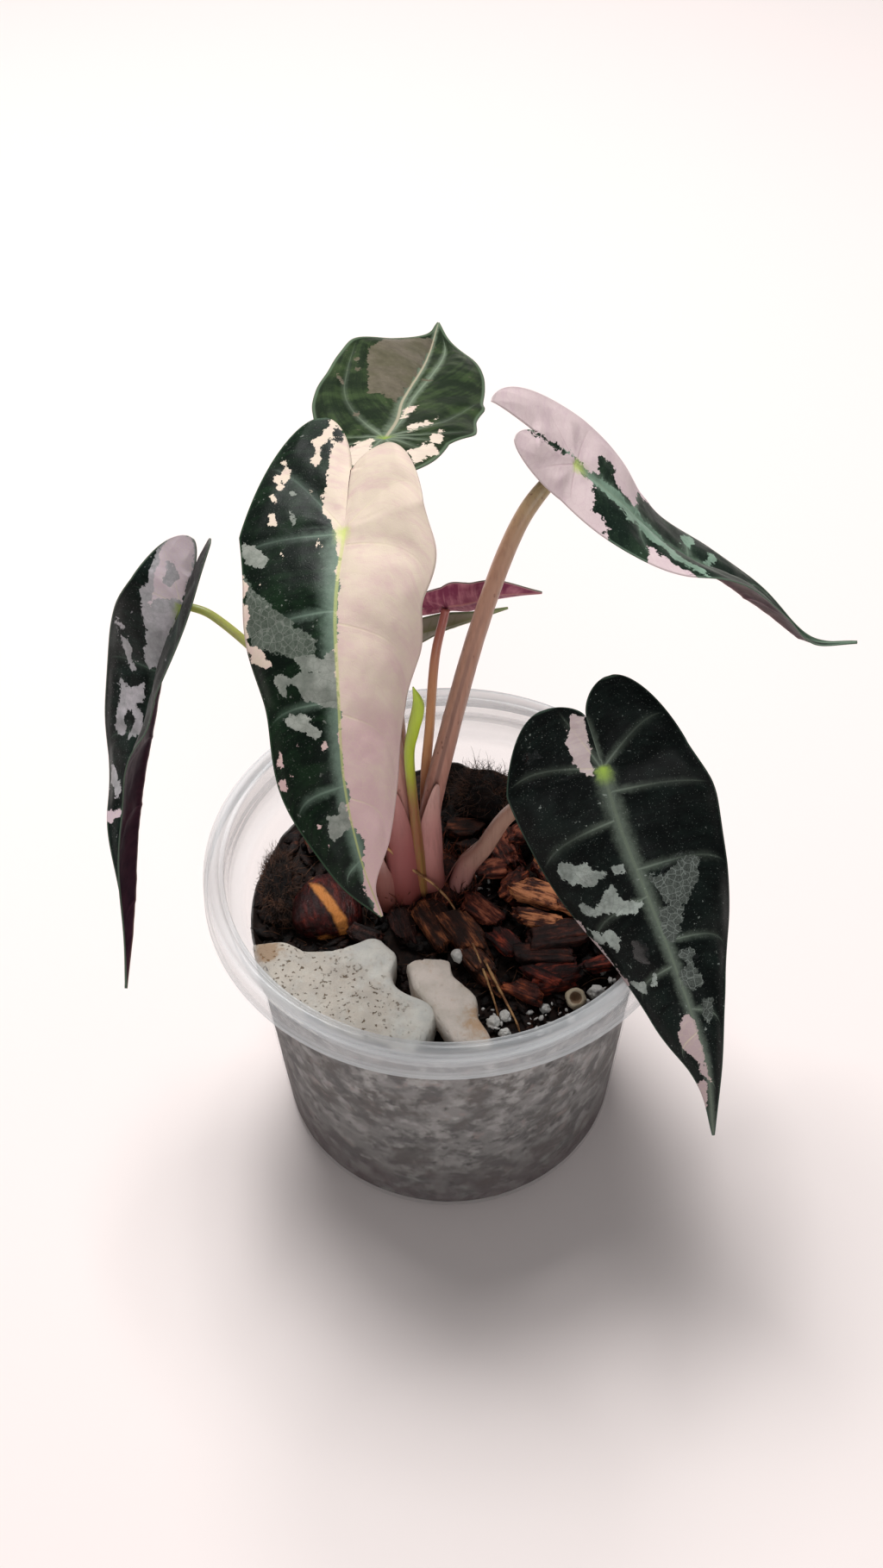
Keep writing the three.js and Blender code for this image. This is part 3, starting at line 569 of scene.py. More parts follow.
COLLAR_FOOT = CUP_HEIGHT - 13.5
COLLAR_TOP = CUP_HEIGHT - 11
BEAD_FOOT = CUP_HEIGHT - 2.4
SKIRT_LIP = CUP_HEIGHT - 7.3


def frosted_plastic():
    """Frosted plastic: a grey-white veil, thin against the damp mix, thicker at the rim and edge on"""
    material, tree, shader = finish_of("frosted_plastic")
    place = own_place(tree)
    cloudy = clouds(tree, place, 12.0, 2.0, 0.5)
    edge_on = node(tree, "ShaderNodeLayerWeight", {"Blend": 0.3}, out="Facing")
    height = node(tree, "ShaderNodeSeparateXYZ", {0: place}, out=2)
    collar = fade(tree, height, COLLAR_FOOT * MM, COLLAR_TOP * MM)
    side_on = times(tree, edge_on, fade(tree, collar, 0.0, 1.0, 0.04, 0.25))
    veil = plus(tree, fade(tree, collar, 0.0, 1.0, 0.05, 0.15), side_on)
    bead = fade(tree, height, BEAD_FOOT * MM, (BEAD_FOOT + 1.2) * MM, 0.0, 0.22)
    step = maths(tree, "ABSOLUTE", minus(tree, height, SKIRT_LIP * MM))
    veil = plus(tree, plus(tree, veil, bead), fade(tree, step, 0.4 * MM, 1.2 * MM, 0.22, 0.0))
    tone = blend(tree, cloudy, (210, 214, 217), (232, 235, 236))
    tone = blend(tree, collar, (176, 178, 180), tone)
    dress(tree, shader, Base_Color=tone, Alpha=veil, IOR=1.46, Specular_IOR_Level=0.5,
          Roughness=fade(tree, collar, 0.0, 1.0, 0.28, 0.12))
    return material


def mix_finish():
    """Dark damp mix: near-black crumbs on top, and grey, brown and pink lumps against the cup"""
    material, tree, shader = finish_of("growing_mix")
    place = own_place(tree)
    soil = blend(tree, fade(tree, clouds(tree, place, 1.6, 5.0, 0.75), 0.3, 0.75), (7, 5, 4),
                 (44, 27, 20))

    def lumps(size, cover, seed):
        return use_group(tree, MOTTLE, {"Size mm": size, "Cover": cover, "Softness": 0.09,
                                        "Seed": seed})["Mask"]

    side = blend(tree, lumps(7.0, 0.5, 1.0), (96, 93, 92), (138, 135, 133))
    side = blend(tree, lumps(5.0, 0.44, 2.0), side, (164, 161, 158))
    side = blend(tree, lumps(8.0, 0.42, 3.0), side, (98, 92, 89))
    side = blend(tree, lumps(4.0, 0.32, 4.0), side, (172, 170, 166))
    side = blend(tree, lumps(3.6, 0.36, 7.0), side, (82, 80, 78))
    side = blend(tree, lumps(4.4, 0.34, 5.0), side, (152, 136, 132))
    # Low down the side turns darker, and pink-brown in lumps near the bottom.
    height = node(tree, "ShaderNodeSeparateXYZ", {0: place}, out=2)
    side = blend(tree, fade(tree, height, 0.0, 0.07, 0.6, 0.0), side, (60, 56, 54))
    side = blend(tree, times(tree, fade(tree, height, 0.0, 0.03, 0.4, 0.0), lumps(8.0, 0.6, 6.0)), side,
                 (84, 62, 64))
    against = attribute(tree, "against")
    dress(tree, shader, Base_Color=blend(tree, against, soil, side), Roughness=0.75, Specular_IOR_Level=0.2,
          Normal=raised(tree, clouds(tree, place, 0.8, 4.0, 0.7), 0.3, 0.5))
    return material


def stone_finish(name, bright, shaded, pits, stain_and_shade_colour, pit_size):
    """Pumice: chalky and pitted, more so low down, the pits painted dark as painted shade in the holes, with
    a few rusty stains
    """
    material, tree, shader = finish_of(name)
    place = own_place(tree)
    tone = blend(tree, fade(tree, clouds(tree, place, 5.0, 4.0, 0.6), 0.35, 0.7), bright, shaded)
    holes = clouds(tree, place, pit_size, 2.0, 0.5)
    amount = attribute(tree, "pitted")
    dense = fade(tree, plus(tree, amount, clouds(tree, place, 3.0, 2.0, 0.5)), 0.55, 1.1)
    # The pits get the dark pits colour: painted shade in the holes, more of it where the stone is densely
    # pitted.
    deep = times(tree, fade(tree, holes, 0.6, 0.68), dense)
    tone = blend(tree, times(tree, dense, 0.3), tone, stain_and_shade_colour)
    tone = blend(tree, times(tree, deep, 0.9), tone, pits)
    # Rusty stains on pumice; on the hollow perlite grain this mask paints shade inside the hollow.
    stain_and_shade_mask = plus(tree, attribute(tree, "stain_and_shade"), clouds(tree, place, 1.6, 3.0, 0.6))
    stain_and_shade_mask = fade(tree, stain_and_shade_mask, 0.55, 1.0, 0.0, 0.7)
    tone = blend(tree, stain_and_shade_mask, tone, stain_and_shade_colour)
    height = minus(tree, clouds(tree, place, 0.5, 4.0, 0.7), times(tree, deep, 1.2))
    dress(tree, shader, Base_Color=tone, Roughness=0.9, Normal=raised(tree, height, 0.7, 0.35))
    return material


def bark_finish(name, dark, middle, bright, brightness, gloss=0.5, strip=None):
    """Bark: grain in three tones, and a bare strip where the mesh marks one"""
    material, tree, shader = finish_of(name)
    grain = use_group(tree, GRAIN, {"Dark": dark, "Middle": middle, "Bright": bright,
                                    "Brightness": brightness})
    tone = grain["Colour"]
    if strip:
        bare = plus(tree, attribute(tree, "pale"),
                    times(tree, minus(tree, clouds(tree, own_place(tree), 1.5), 0.5), 0.9))
        tone = blend(tree, fade(tree, bare, -0.5, 0.4), tone, strip)
    dress(tree, shader, Base_Color=tone, Roughness=gloss, Specular_IOR_Level=0.25,
          Normal=raised(tree, grain["Height"], 0.8, 0.8))
    return material


def fibre_finish(name, dark, bright, roughness=0.7):
    """Dry fibres: two tones that vary from fibre to fibre and along each"""
    material, tree, shader = finish_of(name)
    place = own_place(tree)
    tone = blend(tree, fade(tree, clouds(tree, place, 2.5, 3.0, 0.6), 0.35, 0.65), dark, bright)
    dress(tree, shader, Base_Color=tone, Roughness=roughness,
          Normal=raised(tree, clouds(tree, place, 0.3, 2.0), 0.5, 0.1))
    return material


def stalk_finish(name, foot, middle, top, spots, spotted=0.5, line=0.0, gloss=0.38, turn=(0.02, 0.5, 0.98)):
    """A leaf stalk: three colours from foot to top, lengthwise streaks, spots, and a dark line along it"""
    material, tree, shader = finish_of(name)
    place = own_place(tree)
    run = attribute(tree, "along")
    tone = blend(tree, fade(tree, run, turn[0], turn[1]), foot, middle)
    tone = blend(tree, fade(tree, run, turn[1], turn[2]), tone, top)
    streak = clouds(tree, squeezed(tree, place, (1.0, 1.0, 0.07)), 0.7, 3.0, 0.6)
    tone = blend(tree, fade(tree, streak, 0.4, 0.75, 0.0, 0.3), tone, spots)
    dots = node(tree, "ShaderNodeTexVoronoi", {"Vector": squeezed(tree, place, (1.0, 1.0, 0.45)),
                                               "Scale": 1 / (1.3 * MM)})
    dots = times(tree, fade(tree, dots, 0.1, 0.24, 1.0, 0.0),
                 fade(tree, clouds(tree, place, 2.4, 2.0), 0.46, 0.6))
    tone = blend(tree, times(tree, dots, spotted), tone, spots)
    if line:
        round_it = maths(tree, "ABSOLUTE", minus(tree, attribute(tree, "round"), line))
        mark = times(tree, fade(tree, round_it, 0.015, 0.05, 0.6, 0.0), fade(tree, run, 0.35, 0.6, 1.0, 0.0))
        tone = blend(tree, mark, tone, (96, 60, 52))
    dress(tree, shader, Base_Color=tone, Roughness=gloss, Subsurface_Weight=0.08,
          Subsurface_Radius=(1.0, 0.5, 0.3), Subsurface_Scale=1.5 * MM,
          Normal=raised(tree, streak, 0.35, 0.15))
    return material


def leaf_finish(name, gloss=0.4, bump=0.3, shine=0.2, **values):
    """One face of a leaf, from the shared leaf face"""
    material, tree, shader = finish_of(name)
    inputs = {key.replace("_", " "): value for key, value in values.items()}
    face = use_group(tree, LEAF_FACE, {**inputs, "Gloss": gloss})
    dress(tree, shader, Base_Color=face["Colour"], Roughness=face["Roughness"], Specular_IOR_Level=shine,
          Coat_Weight=face["Wet"], Coat_Roughness=0.05, Normal=raised(tree, face["Height"], bump, 0.25))
    return material


# The cup

RIM_PROFILE = [
    (52.6, -0.1), (51.9, 0.0), (51.4, -0.5), (51.1, -1.4), (50.8, -1.6), (50.5, -1.2), (50.1, -1.2),
    (49.85, -1.9), (49.75, -3.0), (49.6, -7.0), (49.5, -10.2), (49.2, -11.0), (48.2, -11.5), (47.0, -11.7),
    (46.3, -12.1), (45.7, -12.9), (45.5, -14.0), (45.3, -18.0),
]
SKIRT_PROFILE = [
    (SHOULDER_RADIUS, -13.2), (47.0, -12.2), (48.2, -11.6), (49.8, -11.0), (50.5, -10.3), (50.7, -8.0),
    (50.9, -4.0), (52.6, -3.4), (53.8, -3.5), (53.95, -4.4), (54.1, -7.7), (54.3, -8.0), (54.9, -8.0),
    (55.0, -7.6), (54.8, -6.9), (54.95, -6.5), (54.8, -6.1), (54.7, -2.9), (54.55, -2.3), (54.1, -1.9),
    (53.4, -1.6), (53.2, -1.0), (53.0, -0.4),
]


def rounded(profile, times=2):
    """A profile with its corners cut, each time at a quarter and three quarters of every side"""
    p = np.asarray(profile, float)
    for _ in range(times):
        a, b = p[:-1], p[1:]
        cut = np.stack([0.75 * a + 0.25 * b, 0.25 * a + 0.75 * b], 1).reshape(-1, 2)
        p = np.vstack([p[:1], cut, p[-1:]])
    return p


def close_poles(points):
    """Draws the first and the last ring of a shape together, each to its middle"""
    points[0] = points[0].mean(0)
    points[-1] = points[-1].mean(0)


def lathe(profile, sides):
    """A profile of (radius, height) turned round Z"""
    turn = 2 * np.pi * np.arange(sides) / sides
    radius, height = profile[:, 0, None], profile[:, 1, None]
    return np.stack([radius * np.cos(turn), radius * np.sin(turn), height + 0 * turn], -1).reshape(-1, 3)


def make_cup():
    """The cup, one closed profile: up the outside from under its middle, over the rim and down inside"""
    foot = [(0, 0), (28, 0), (36, 0), (38.9, 0), (40.4, 0.4), (41.5, 1.4), (BASE_RADIUS, 3.0), (43.5, 27)]
    outside = [(r, CUP_HEIGHT + h) for r, h in SKIRT_PROFILE]
    inside = [(r, CUP_HEIGHT + h) for r, h in RIM_PROFILE]
    floor = [(41.05, 3.3), (40.6, 2.2), (39.6, 1.5), (38.4, 1.2), (20, 1.2), (0, 1.2)]
    profile = rounded(foot + outside + inside + floor)
    sides = 150
    points = lathe(profile, sides)
    faces = grid(len(profile), sides, ring=True)
    piece("cup", points, faces, {}, [frosted_plastic()], ["pot"])


# The growing mix and the crumbs on it

def mix_level(x, y):
    """Height of the mix: lumps as two crossed waves, and a rise round the plant"""
    lumps = np.sin(0.31 * x + 1) * np.cos(0.27 * y - 0.5) + 0.5 * np.sin(0.63 * x - 0.41 * y)
    from_crown = (x - CROWN[0])**2 + (y - CROWN[1])**2
    return MIX_LEVEL + LUMP_HEIGHT * lumps + 2.5 * np.exp(-from_crown / 260)


def mix_edge(height):
    """Radius of the mix where it meets the cup at a height"""
    step = CUP_HEIGHT - STEP_DEPTH
    wall = BASE_RADIUS + (SHOULDER_RADIUS - BASE_RADIUS) * np.clip((height - 3) / (step - 3), 0, 1)
    return wall - 0.35 * WALL


def make_mix():
    """Rings from the middle of the top out to the cup, down its wall and in again, with crumbs as noise.

    At the front the mix clings to the wall above its level.
    """
    sides = 264
    turn = 2 * np.pi * np.arange(sides) / sides
    edge = mix_edge(MIX_LEVEL)
    radii = edge * np.linspace(0, 1, 81)[1:]
    x, y = radii[:, None] * np.cos(turn), radii[:, None] * np.sin(turn)
    level = mix_level(x, y)
    top = np.stack([x, y, level], -1)
    top[..., 2] += 0.9 * fractal(top, 6.0, 5, seed=3) - 0.5
    clinging = CLINGING * smooth(-np.sin(turn), -0.1, 0.6) * (1 + 0.12 * noise(top[-1], 5.0, 4))
    top[..., 2] += clinging * smooth(radii, edge - 1.7, edge - 0.2)[:, None]
    drop = np.linspace(0, 1, 50)[1:, None]
    low = 0.7
    height = top[-1, :, 2] * (1 - drop) + low * drop
    radius = mix_edge(height) - 1.7 * smooth(3.2 - height, 0, 2.6)
    side = np.stack([radius * np.cos(turn), radius * np.sin(turn), height], -1)
    inward = 0.08 * (1 + fractal(side, 4.0, 3, seed=8))
    side[..., :2] *= (1 - inward / radius)[..., None]
    flat_radius, bottom = 38.0, 0.5
    under = np.stack([flat_radius * np.cos(turn), flat_radius * np.sin(turn), np.full(sides, bottom)], -1)
    rings = np.concatenate([np.zeros((1, sides, 3)), top, side, under[None], np.zeros((1, sides, 3))])
    rings[0] = [0, 0, top[0, :, 2].mean()]
    rings[-1] = [0, 0, bottom]
    against = np.zeros(rings.shape[:2])
    against[len(top):] = 1
    faces = grid(len(rings), sides, ring=True)
    piece("growing_mix_surface", rings.reshape(-1, 3), faces, {"against": against.ravel()}, [mix_finish()],
          ["growing_mix"])


def scattered(count, seed, reach):
    """Random places on the mix, kept off the cup's wall"""
    random = np.random.default_rng(seed)
    radius = reach * np.sqrt(random.random(count))
    turn = 2 * np.pi * random.random(count)
    x, y = radius * np.cos(turn), radius * np.sin(turn)
    return np.stack([x, y, mix_level(x, y)], -1), random


def pebbles(places, sizes, random, flat=0.6):
    """Twenty-sided bits, each stretched and turned at random: points as an array for all bits at once"""
    golden = (1 + 5**0.5) / 2
    corners = np.array([(-1, golden, 0), (1, golden, 0), (-1, -golden, 0), (1, -golden, 0), (0, -1, golden),
                        (0, 1, golden), (0, -1, -golden), (0, 1, -golden), (golden, 0, -1), (golden, 0, 1),
                        (-golden, 0, -1), (-golden, 0, 1)]) / 1.9
    sides = np.array([(0, 11, 5), (0, 5, 1), (0, 1, 7), (0, 7, 10), (0, 10, 11), (1, 5, 9), (5, 11, 4),
                      (11, 10, 2), (10, 7, 6), (7, 1, 8), (3, 9, 4), (3, 4, 2), (3, 2, 6), (3, 6, 8),
                      (3, 8, 9), (4, 9, 5), (2, 4, 11), (6, 2, 10), (8, 6, 7), (9, 8, 1)])
    count = len(places)
    stretch = np.stack([0.7 + 1.5 * random.random(count), 0.5 + 0.5 * random.random(count),
                        flat * (0.6 + 0.6 * random.random(count))], -1)
    rough = 1 + 0.25 * (random.random((count, 12, 1)) - 0.5)
    bits = corners[None] * rough * stretch[:, None] * sizes[:, None, None]
    tip = random.normal(0, 0.5, count)
    turn = 2 * np.pi * random.random(count)
    y, z = bits[..., 1], bits[..., 2]
    bits[..., 1], bits[..., 2] = (y * np.cos(tip)[:, None] - z * np.sin(tip)[:, None],
                                  y * np.sin(tip)[:, None] + z * np.cos(tip)[:, None])
    x, y = bits[..., 0], bits[..., 1]
    bits[..., 0], bits[..., 1] = (x * np.cos(turn)[:, None] - y * np.sin(turn)[:, None],
                                  x * np.sin(turn)[:, None] + y * np.cos(turn)[:, None])
    points = (bits + places[:, None]).reshape(-1, 3)
    faces = (sides[None] + 12 * np.arange(count)[:, None, None]).reshape(-1, 3)
    return points, faces, bits


def hairs(starts, ahead, lengths, radius, random, bend=0.5, rings=6):
    """Thin curling rods for all hairs at once: each point is the start plus the direction times its length,
    bent by two random waves, with three sides that taper to the end"""
    count = len(starts)
    at = np.linspace(0, 1, rings)
    ahead = unit(ahead)
    any_way = unit(random.normal(size=(count, 3)))
    across = unit(np.cross(ahead, any_way))
    beside = np.cross(ahead, across)
    phase = 2 * np.pi * random.random((2, count))
    size = lengths[:, None] * bend
    sway = size * (np.sin(2.2 * at[None] + phase[0][:, None]) - np.sin(phase[0])[:, None]) * 0.5
    swing = size * (np.sin(3.1 * at[None] + phase[1][:, None]) - np.sin(phase[1])[:, None]) * 0.35
    centre = (starts[:, None] + ahead[:, None] * (lengths[:, None] * at)[..., None]
              + across[:, None] * sway[..., None] + beside[:, None] * swing[..., None])
    turn = 2 * np.pi * np.arange(3) / 3
    turn = turn[None, None, :, None]
    ring = across[:, None, None] * np.cos(turn) + beside[:, None, None] * np.sin(turn)
    taper = (1 - 0.75 * at)[None, :, None, None] * np.broadcast_to(radius, (count,))[:, None, None, None]
    points = (centre[:, :, None] + ring * taper).reshape(-1, 3)
    one = grid(rings, 3, ring=True)
    ends = np.array([[0, 2, 1, 1], [3 * rings - 3, 3 * rings - 2, 3 * rings - 1, 3 * rings - 1]])
    step = 3 * rings * np.arange(count)[:, None, None]
    quads = (one[None] + step).reshape(-1, 4).tolist()
    caps = (ends[None, :, :3] + step).reshape(-1, 3).tolist()
    return points, quads + caps


def make_crumbs():
    """Bark crumbs, perlite crumbs and thin fibres strewn over the mix"""
    dark = bark_finish("bark_crumbs", (9, 6, 5), (36, 19, 14), (98, 50, 30), 0.35, 0.6)
    places, random = scattered(1700, 5, mix_edge(MIX_LEVEL) - 2.3)
    sizes = 0.5 + 1.7 * random.random(len(places))**2.5
    places[:, 2] += 0.2 * sizes
    points, faces, bits = pebbles(places, sizes, random, flat=0.4)
    piece("bark_crumbs", points, faces, {"grain": bits.reshape(-1, 3)}, [dark], join=0.0)
    places, random = scattered(34, 9, mix_edge(MIX_LEVEL) - 2)
    near = np.array([[9.6, -34, 0], [12, -33, 0], [29, -29, 0], [26, -31, 0], [33, -24, 0], [20, -32, 0],
                     [8, 3, 0]])
    more = near[random.integers(0, len(near), 60)] + random.normal(0, 2.2, (60, 3)) * [1, 1, 0]
    more[:, 2] = mix_level(more[:, 0], more[:, 1])
    places = np.vstack([places, more])
    sizes = 0.25 + 0.55 * random.random(len(places))**2
    places[:, 2] += 0.8
    points, faces, _ = pebbles(places, sizes, random, flat=0.9)
    none = np.zeros(len(points))
    piece("perlite_crumbs", points, faces, {"pitted": none, "stain_and_shade": none},
          [stone_finish("perlite_small", (226, 226, 222), (196, 194, 190), (150, 146, 140),
                        (190, 170, 140), 0.5)], join=0.0)
    places, random = scattered(260, 13, mix_edge(MIX_LEVEL) - 5)
    ahead = np.stack([random.normal(size=len(places)), random.normal(size=len(places)),
                      0.12 + 0.25 * random.random(len(places))], -1)
    lengths = 3 + 6 * random.random(len(places))
    points, faces = hairs(places + [0, 0, 0.6], ahead, lengths, 0.09, random, 0.5, 8)
    piece("mix_fibres", points, faces, {}, [fibre_finish("loose_fibres", (44, 26, 18), (120, 76, 46))],
          join=0.0)


# Pumice and perlite

STONES = {
    "pumice_large": {
        "outline": [(-44, -14), (-38, -13.5), (-34, -16), (-24, -16), (-17, -13), (-13.5, -15.5),
                    (-11.6, -19), (-12, -26.5), (-4.5, -31.5), (-3, -35), (-6, -41.5), (-9.5, -43),
                    (-23, -39), (-36, -29.5), (-41.5, -23)],
        "middle": (-17, -29), "bottom": 64, "top": 73.5,
    },
    "pumice_long": {
        "outline": [(-9.2, -20.5), (-6.5, -19.2), (-2, -18.8), (0.2, -20), (1, -24), (4, -28), (6, -31),
                    (6.6, -35.5), (9, -41), (6.5, -43), (1.7, -42.5), (-1, -38.5), (-4, -33), (-7.8, -27.5)],
        "middle": (0, -30), "bottom": 65.5, "top": 73.5,
    },
}


STONE_STEPS = (216, 80)


def stone_points(outline, middle, bottom, top, seed):
    """A flat stone: its rounded outline drawn in towards a middle point by a power of a sine while the height
    follows the same power of the cosine, then roughened by noise and pitted"""
    around, down = STONE_STEPS
    ring, _ = along(np.array([(*p, 0) for p in outline + outline[:1]]), np.linspace(0, 1, around + 1)[:-1])
    turn = np.linspace(0, np.pi, down)
    flat = 0.36
    share = np.sin(turn)**flat
    height = np.sign(np.cos(turn)) * np.abs(np.cos(turn))**0.45
    share[[0, -1]] = 0
    centre = np.array(middle, float)
    plan = centre + (ring[None, :, :2] - centre) * share[:, None, None]
    mid, half = (top + bottom) / 2, (top - bottom) / 2
    z = np.broadcast_to((mid + half * height)[:, None], plan.shape[:2])
    points = np.concatenate([plan, z[..., None]], -1)
    out = unit(points - [*middle, mid] + 1e-6)
    rough = 0.9 * fractal(points, 7.0, 3, seed) + 0.16 * fractal(points, 1.4, 3, seed + 1)
    pits = np.clip(noise(points, 0.9, seed + 5) - 0.45, 0, 1) * 0.8
    points = points + out * (0.55 * rough - pits)[..., None] * (0.35 + 0.65 * share)[:, None, None]
    close_poles(points)
    return points.reshape(-1, 3), grid(down, around, ring=True)


def make_stones():
    large = stone_finish("pumice_large", (230, 228, 219), (208, 208, 202), (104, 86, 64),
                         (160, 122, 82), 0.95)
    points, faces = stone_points(**STONES["pumice_large"], seed=21)
    outward = -0.64 * points[:, 0] - 0.77 * points[:, 1]
    pitted = 0.55 * smooth(outward, 24, 34) * smooth(points[:, 0], -3, -18)
    pitted = pitted + 0.25 * smooth(points[:, 2], 73, 69)
    stain_and_shade = 0.62 * smooth(np.hypot(points[:, 0] + 40.5, points[:, 1] + 17), 5, 1)
    piece("pumice_large_stone", points, faces, {"pitted": pitted, "stain_and_shade": stain_and_shade}, [large],
          ["pumice_large"])
    long = stone_finish("pumice_long", (228, 216, 206), (206, 196, 184), (126, 104, 82),
                        (190, 146, 100), 0.6)
    points, faces = stone_points(**STONES["pumice_long"], seed=31)
    pitted = 0.32 * smooth(points[:, 2], 73, 68)
    stain_and_shade = 0.4 * smooth(np.hypot(points[:, 0] - 7.2, points[:, 1] + 37), 7, 2)
    piece("pumice_long_stone", points, faces, {"pitted": pitted, "stain_and_shade": stain_and_shade}, [long],
          ["pumice_long"])


GRAINS = {
    "perlite_1": (2.2, -18.2, 3.6, (1.5, 1.6, 1.5)),
    "perlite_2": (9.6, -33.8, 0, (1.5, 1.4, 1.4)),
    "perlite_3": (12.2, -32.2, 0, (1.2, 1.3, 1.2)),
    "perlite_4": (12, -36, 0, (1.3, 1.1, 1.2)),
    "perlite_5": (33, -24.8, 0, (2, 1.6, 1.8)),
    "perlite_6": (21.2, -29, 0, (1.2, 1.1, 1.1)),
    "perlite_7": (34.5, -18.5, 0, (1.2, 1.1, 1.1)),
    "perlite_8": (27, -32.5, 0, (1, 1.1, 1)),
}
GRAIN_SHOWS = 0.45


def globe(rows, sides):
    """Directions over a sphere, from pole to pole"""
    tilt = np.linspace(0, np.pi, rows)[:, None]
    turn = 2 * np.pi * np.arange(sides) / sides
    return np.stack([np.sin(tilt) * np.cos(turn), np.sin(tilt) * np.sin(turn),
                     np.cos(tilt) + 0 * turn], -1)


def make_grains():
    """Perlite grains: globes swollen by noise, and the hollow one as a thick turned shell"""
    white = stone_finish("perlite_white", (232, 232, 228), (204, 203, 198), (150, 146, 140),
                         (200, 180, 150), 0.6)
    ways = globe(30, 40)
    for name, (x, y, lift, size) in GRAINS.items():
        lumpy = 1 + 0.22 * fractal(ways * 1.7 + x, 1.0, 3, seed=int(x * 7) % 50)
        points = ways * np.array(size) * lumpy[..., None]
        close_poles(points)
        points = points + [x, y, float(mix_level(x, y)) + GRAIN_SHOWS * size[2] + lift]
        count = points.shape[0] * points.shape[1]
        piece(f"{name}_grain", points.reshape(-1, 3), grid(30, 40, ring=True),
              {"pitted": np.full(count, 0.1), "stain_and_shade": np.zeros(count)}, [white], [name])
    shell = rounded([(0, -1.4), (1.6, -1.2), (2.5, 0), (2.2, 1.1), (1.7, 1.5), (1.2, 1.2), (0.9, 0.3),
                     (0, -0.3)])
    points = lathe(shell, 48)
    inner = smooth(np.hypot(points[:, 0], points[:, 1]), 1.6, 0.9) * (points[:, 2] > -0.6)
    points = points * (1 + 0.09 * fractal(points, 1.6, 3, seed=4))[:, None]
    points = turned(points, 28, "X") + [28, -27, float(mix_level(28, -27)) + 1.2]
    # The hollow grain's stain colour, (120, 76, 40), is painted inside its hollow as painted shade.
    cream = stone_finish("perlite_cream", (226, 212, 184), (196, 176, 140), (150, 120, 80),
                         (120, 76, 40), 0.6)
    piece("perlite_hollow_grain", points, grid(len(shell), 48, ring=True),
          {"pitted": 0.1 * inner, "stain_and_shade": inner}, [cream], ["perlite_hollow"])


# Bark, husk and coir

CHUNKS = {
    "husk_round": {"at": (-28.2, -1.3, 68.5), "size": (9.6, 10, 7), "turn": 10, "seed": 3},
    "coir_left": {"at": (-39.5, 6, 68), "size": (4.6, 10, 5), "turn": 12, "seed": 5},
    "coir_back": {"at": (10.5, 31, 71), "size": (11, 8.5, 9), "turn": -8, "seed": 8},
    "bark_mid_back": {"at": (13, 15.5, 69), "size": (5, 7.5, 6), "turn": 24, "seed": 9},
    "bark_mid_front": {"at": (16, 3.5, 67.5), "size": (4.6, 4.2, 4.5), "turn": 40, "seed": 11},
    "bark_long_back": {"at": (32, -0.5, 68.5), "size": (10.5, 4.6, 5), "turn": -6, "seed": 12},
    "bark_long_middle": {"at": (25, -11.5, 68), "size": (13, 4.2, 4.6), "turn": 10, "seed": 15},
    "bark_long_front": {"at": (23.5, -21.5, 67), "size": (10, 4.2, 4), "turn": 14, "seed": 17},
    "bark_strip": {"at": (5, -15.5, 68), "size": (2.9, 15.5, 3.6), "turn": 29, "seed": 19},
    "bark_back_left": {"at": (-24, 21, 67.5), "size": (10, 7.5, 5), "turn": -30, "seed": 21},
    "bark_back_right": {"at": (31, 18, 68), "size": (8.5, 7, 5), "turn": 35, "seed": 23},
    "bark_back": {"at": (-7, 33.5, 67.5), "size": (7.5, 6, 4.5), "turn": 12, "seed": 25},
}
SQUARENESS = 0.4
ROUND = 0.72


DENTS = 9
DRAW_FACTOR = 16807
DRAW_RANGE = 2147483647


def dents(seed, rough):
    """Dents from a repeatable sequence: where each points and how deep it is"""
    state = seed * 7919 + 13
    drawn = []
    for _ in range(4 * DENTS):
        state = (state * DRAW_FACTOR) % DRAW_RANGE
        drawn.append(state / DRAW_RANGE)
    drawn = np.array(drawn).reshape(DENTS, 4)
    return unit(drawn[:, :3] - 0.5), rough * (0.4 + drawn[:, 3])


def chunk_points(at, size, turn, seed, flakes=0.5, facets=10, rows=74, sides=74, square=SQUARENESS):
    """A rough block: directions over a globe raised to a power that squares them, dented, cut by random
    planes, and flaked by noise drawn out along its longest side"""
    size = np.array(size, float)
    longest = int(np.argmax(size[:2]))
    ways = globe(rows, sides)
    ways = ways[..., [2, 0, 1]] if longest == 0 else ways[..., [0, 2, 1]]
    towards, depth = dents(seed, 0.1)
    dent = (np.clip(ways @ towards.T - 0.55, 0, 1) / 0.45 * depth).sum(-1)
    boxy = np.sign(ways) * np.abs(ways)**square
    points = 0.9 * (1 - dent)[..., None] * boxy * size
    random = np.random.default_rng(seed + 100)
    for way, share in zip(unit(random.normal(size=(facets, 3))), 0.6 + 0.3 * random.random(facets)):
        over = np.clip(points @ way - share * (points @ way).max(), 0, None)
        points = points - over[..., None] * way
    order = [longest, 1 - longest, 2]
    grain = points[..., order]
    drawn = np.stack([grain[..., 0] * 0.16, grain[..., 1], grain[..., 2]], -1)
    ridges = 1 - 2 * np.abs(fractal(drawn, 1.7, 4, seed)) - 0.2
    shag = fractal(points, 3.0, 4, seed + 3)
    split = 1 + 2.5 * smooth(np.abs(grain[..., 0]) / size[longest], 0.5, 0.9)
    out = unit(points + 1e-6)
    points = points + out * (flakes * split * (0.7 * ridges + 0.35 * shag))[..., None]
    close_poles(points)
    grain = points[..., order] + 10.0 * seed
    points = turned(points, turn, "Z") + np.array(at)
    return points.reshape(-1, 3), grid(rows, sides, ring=True), grain.reshape(-1, 3)


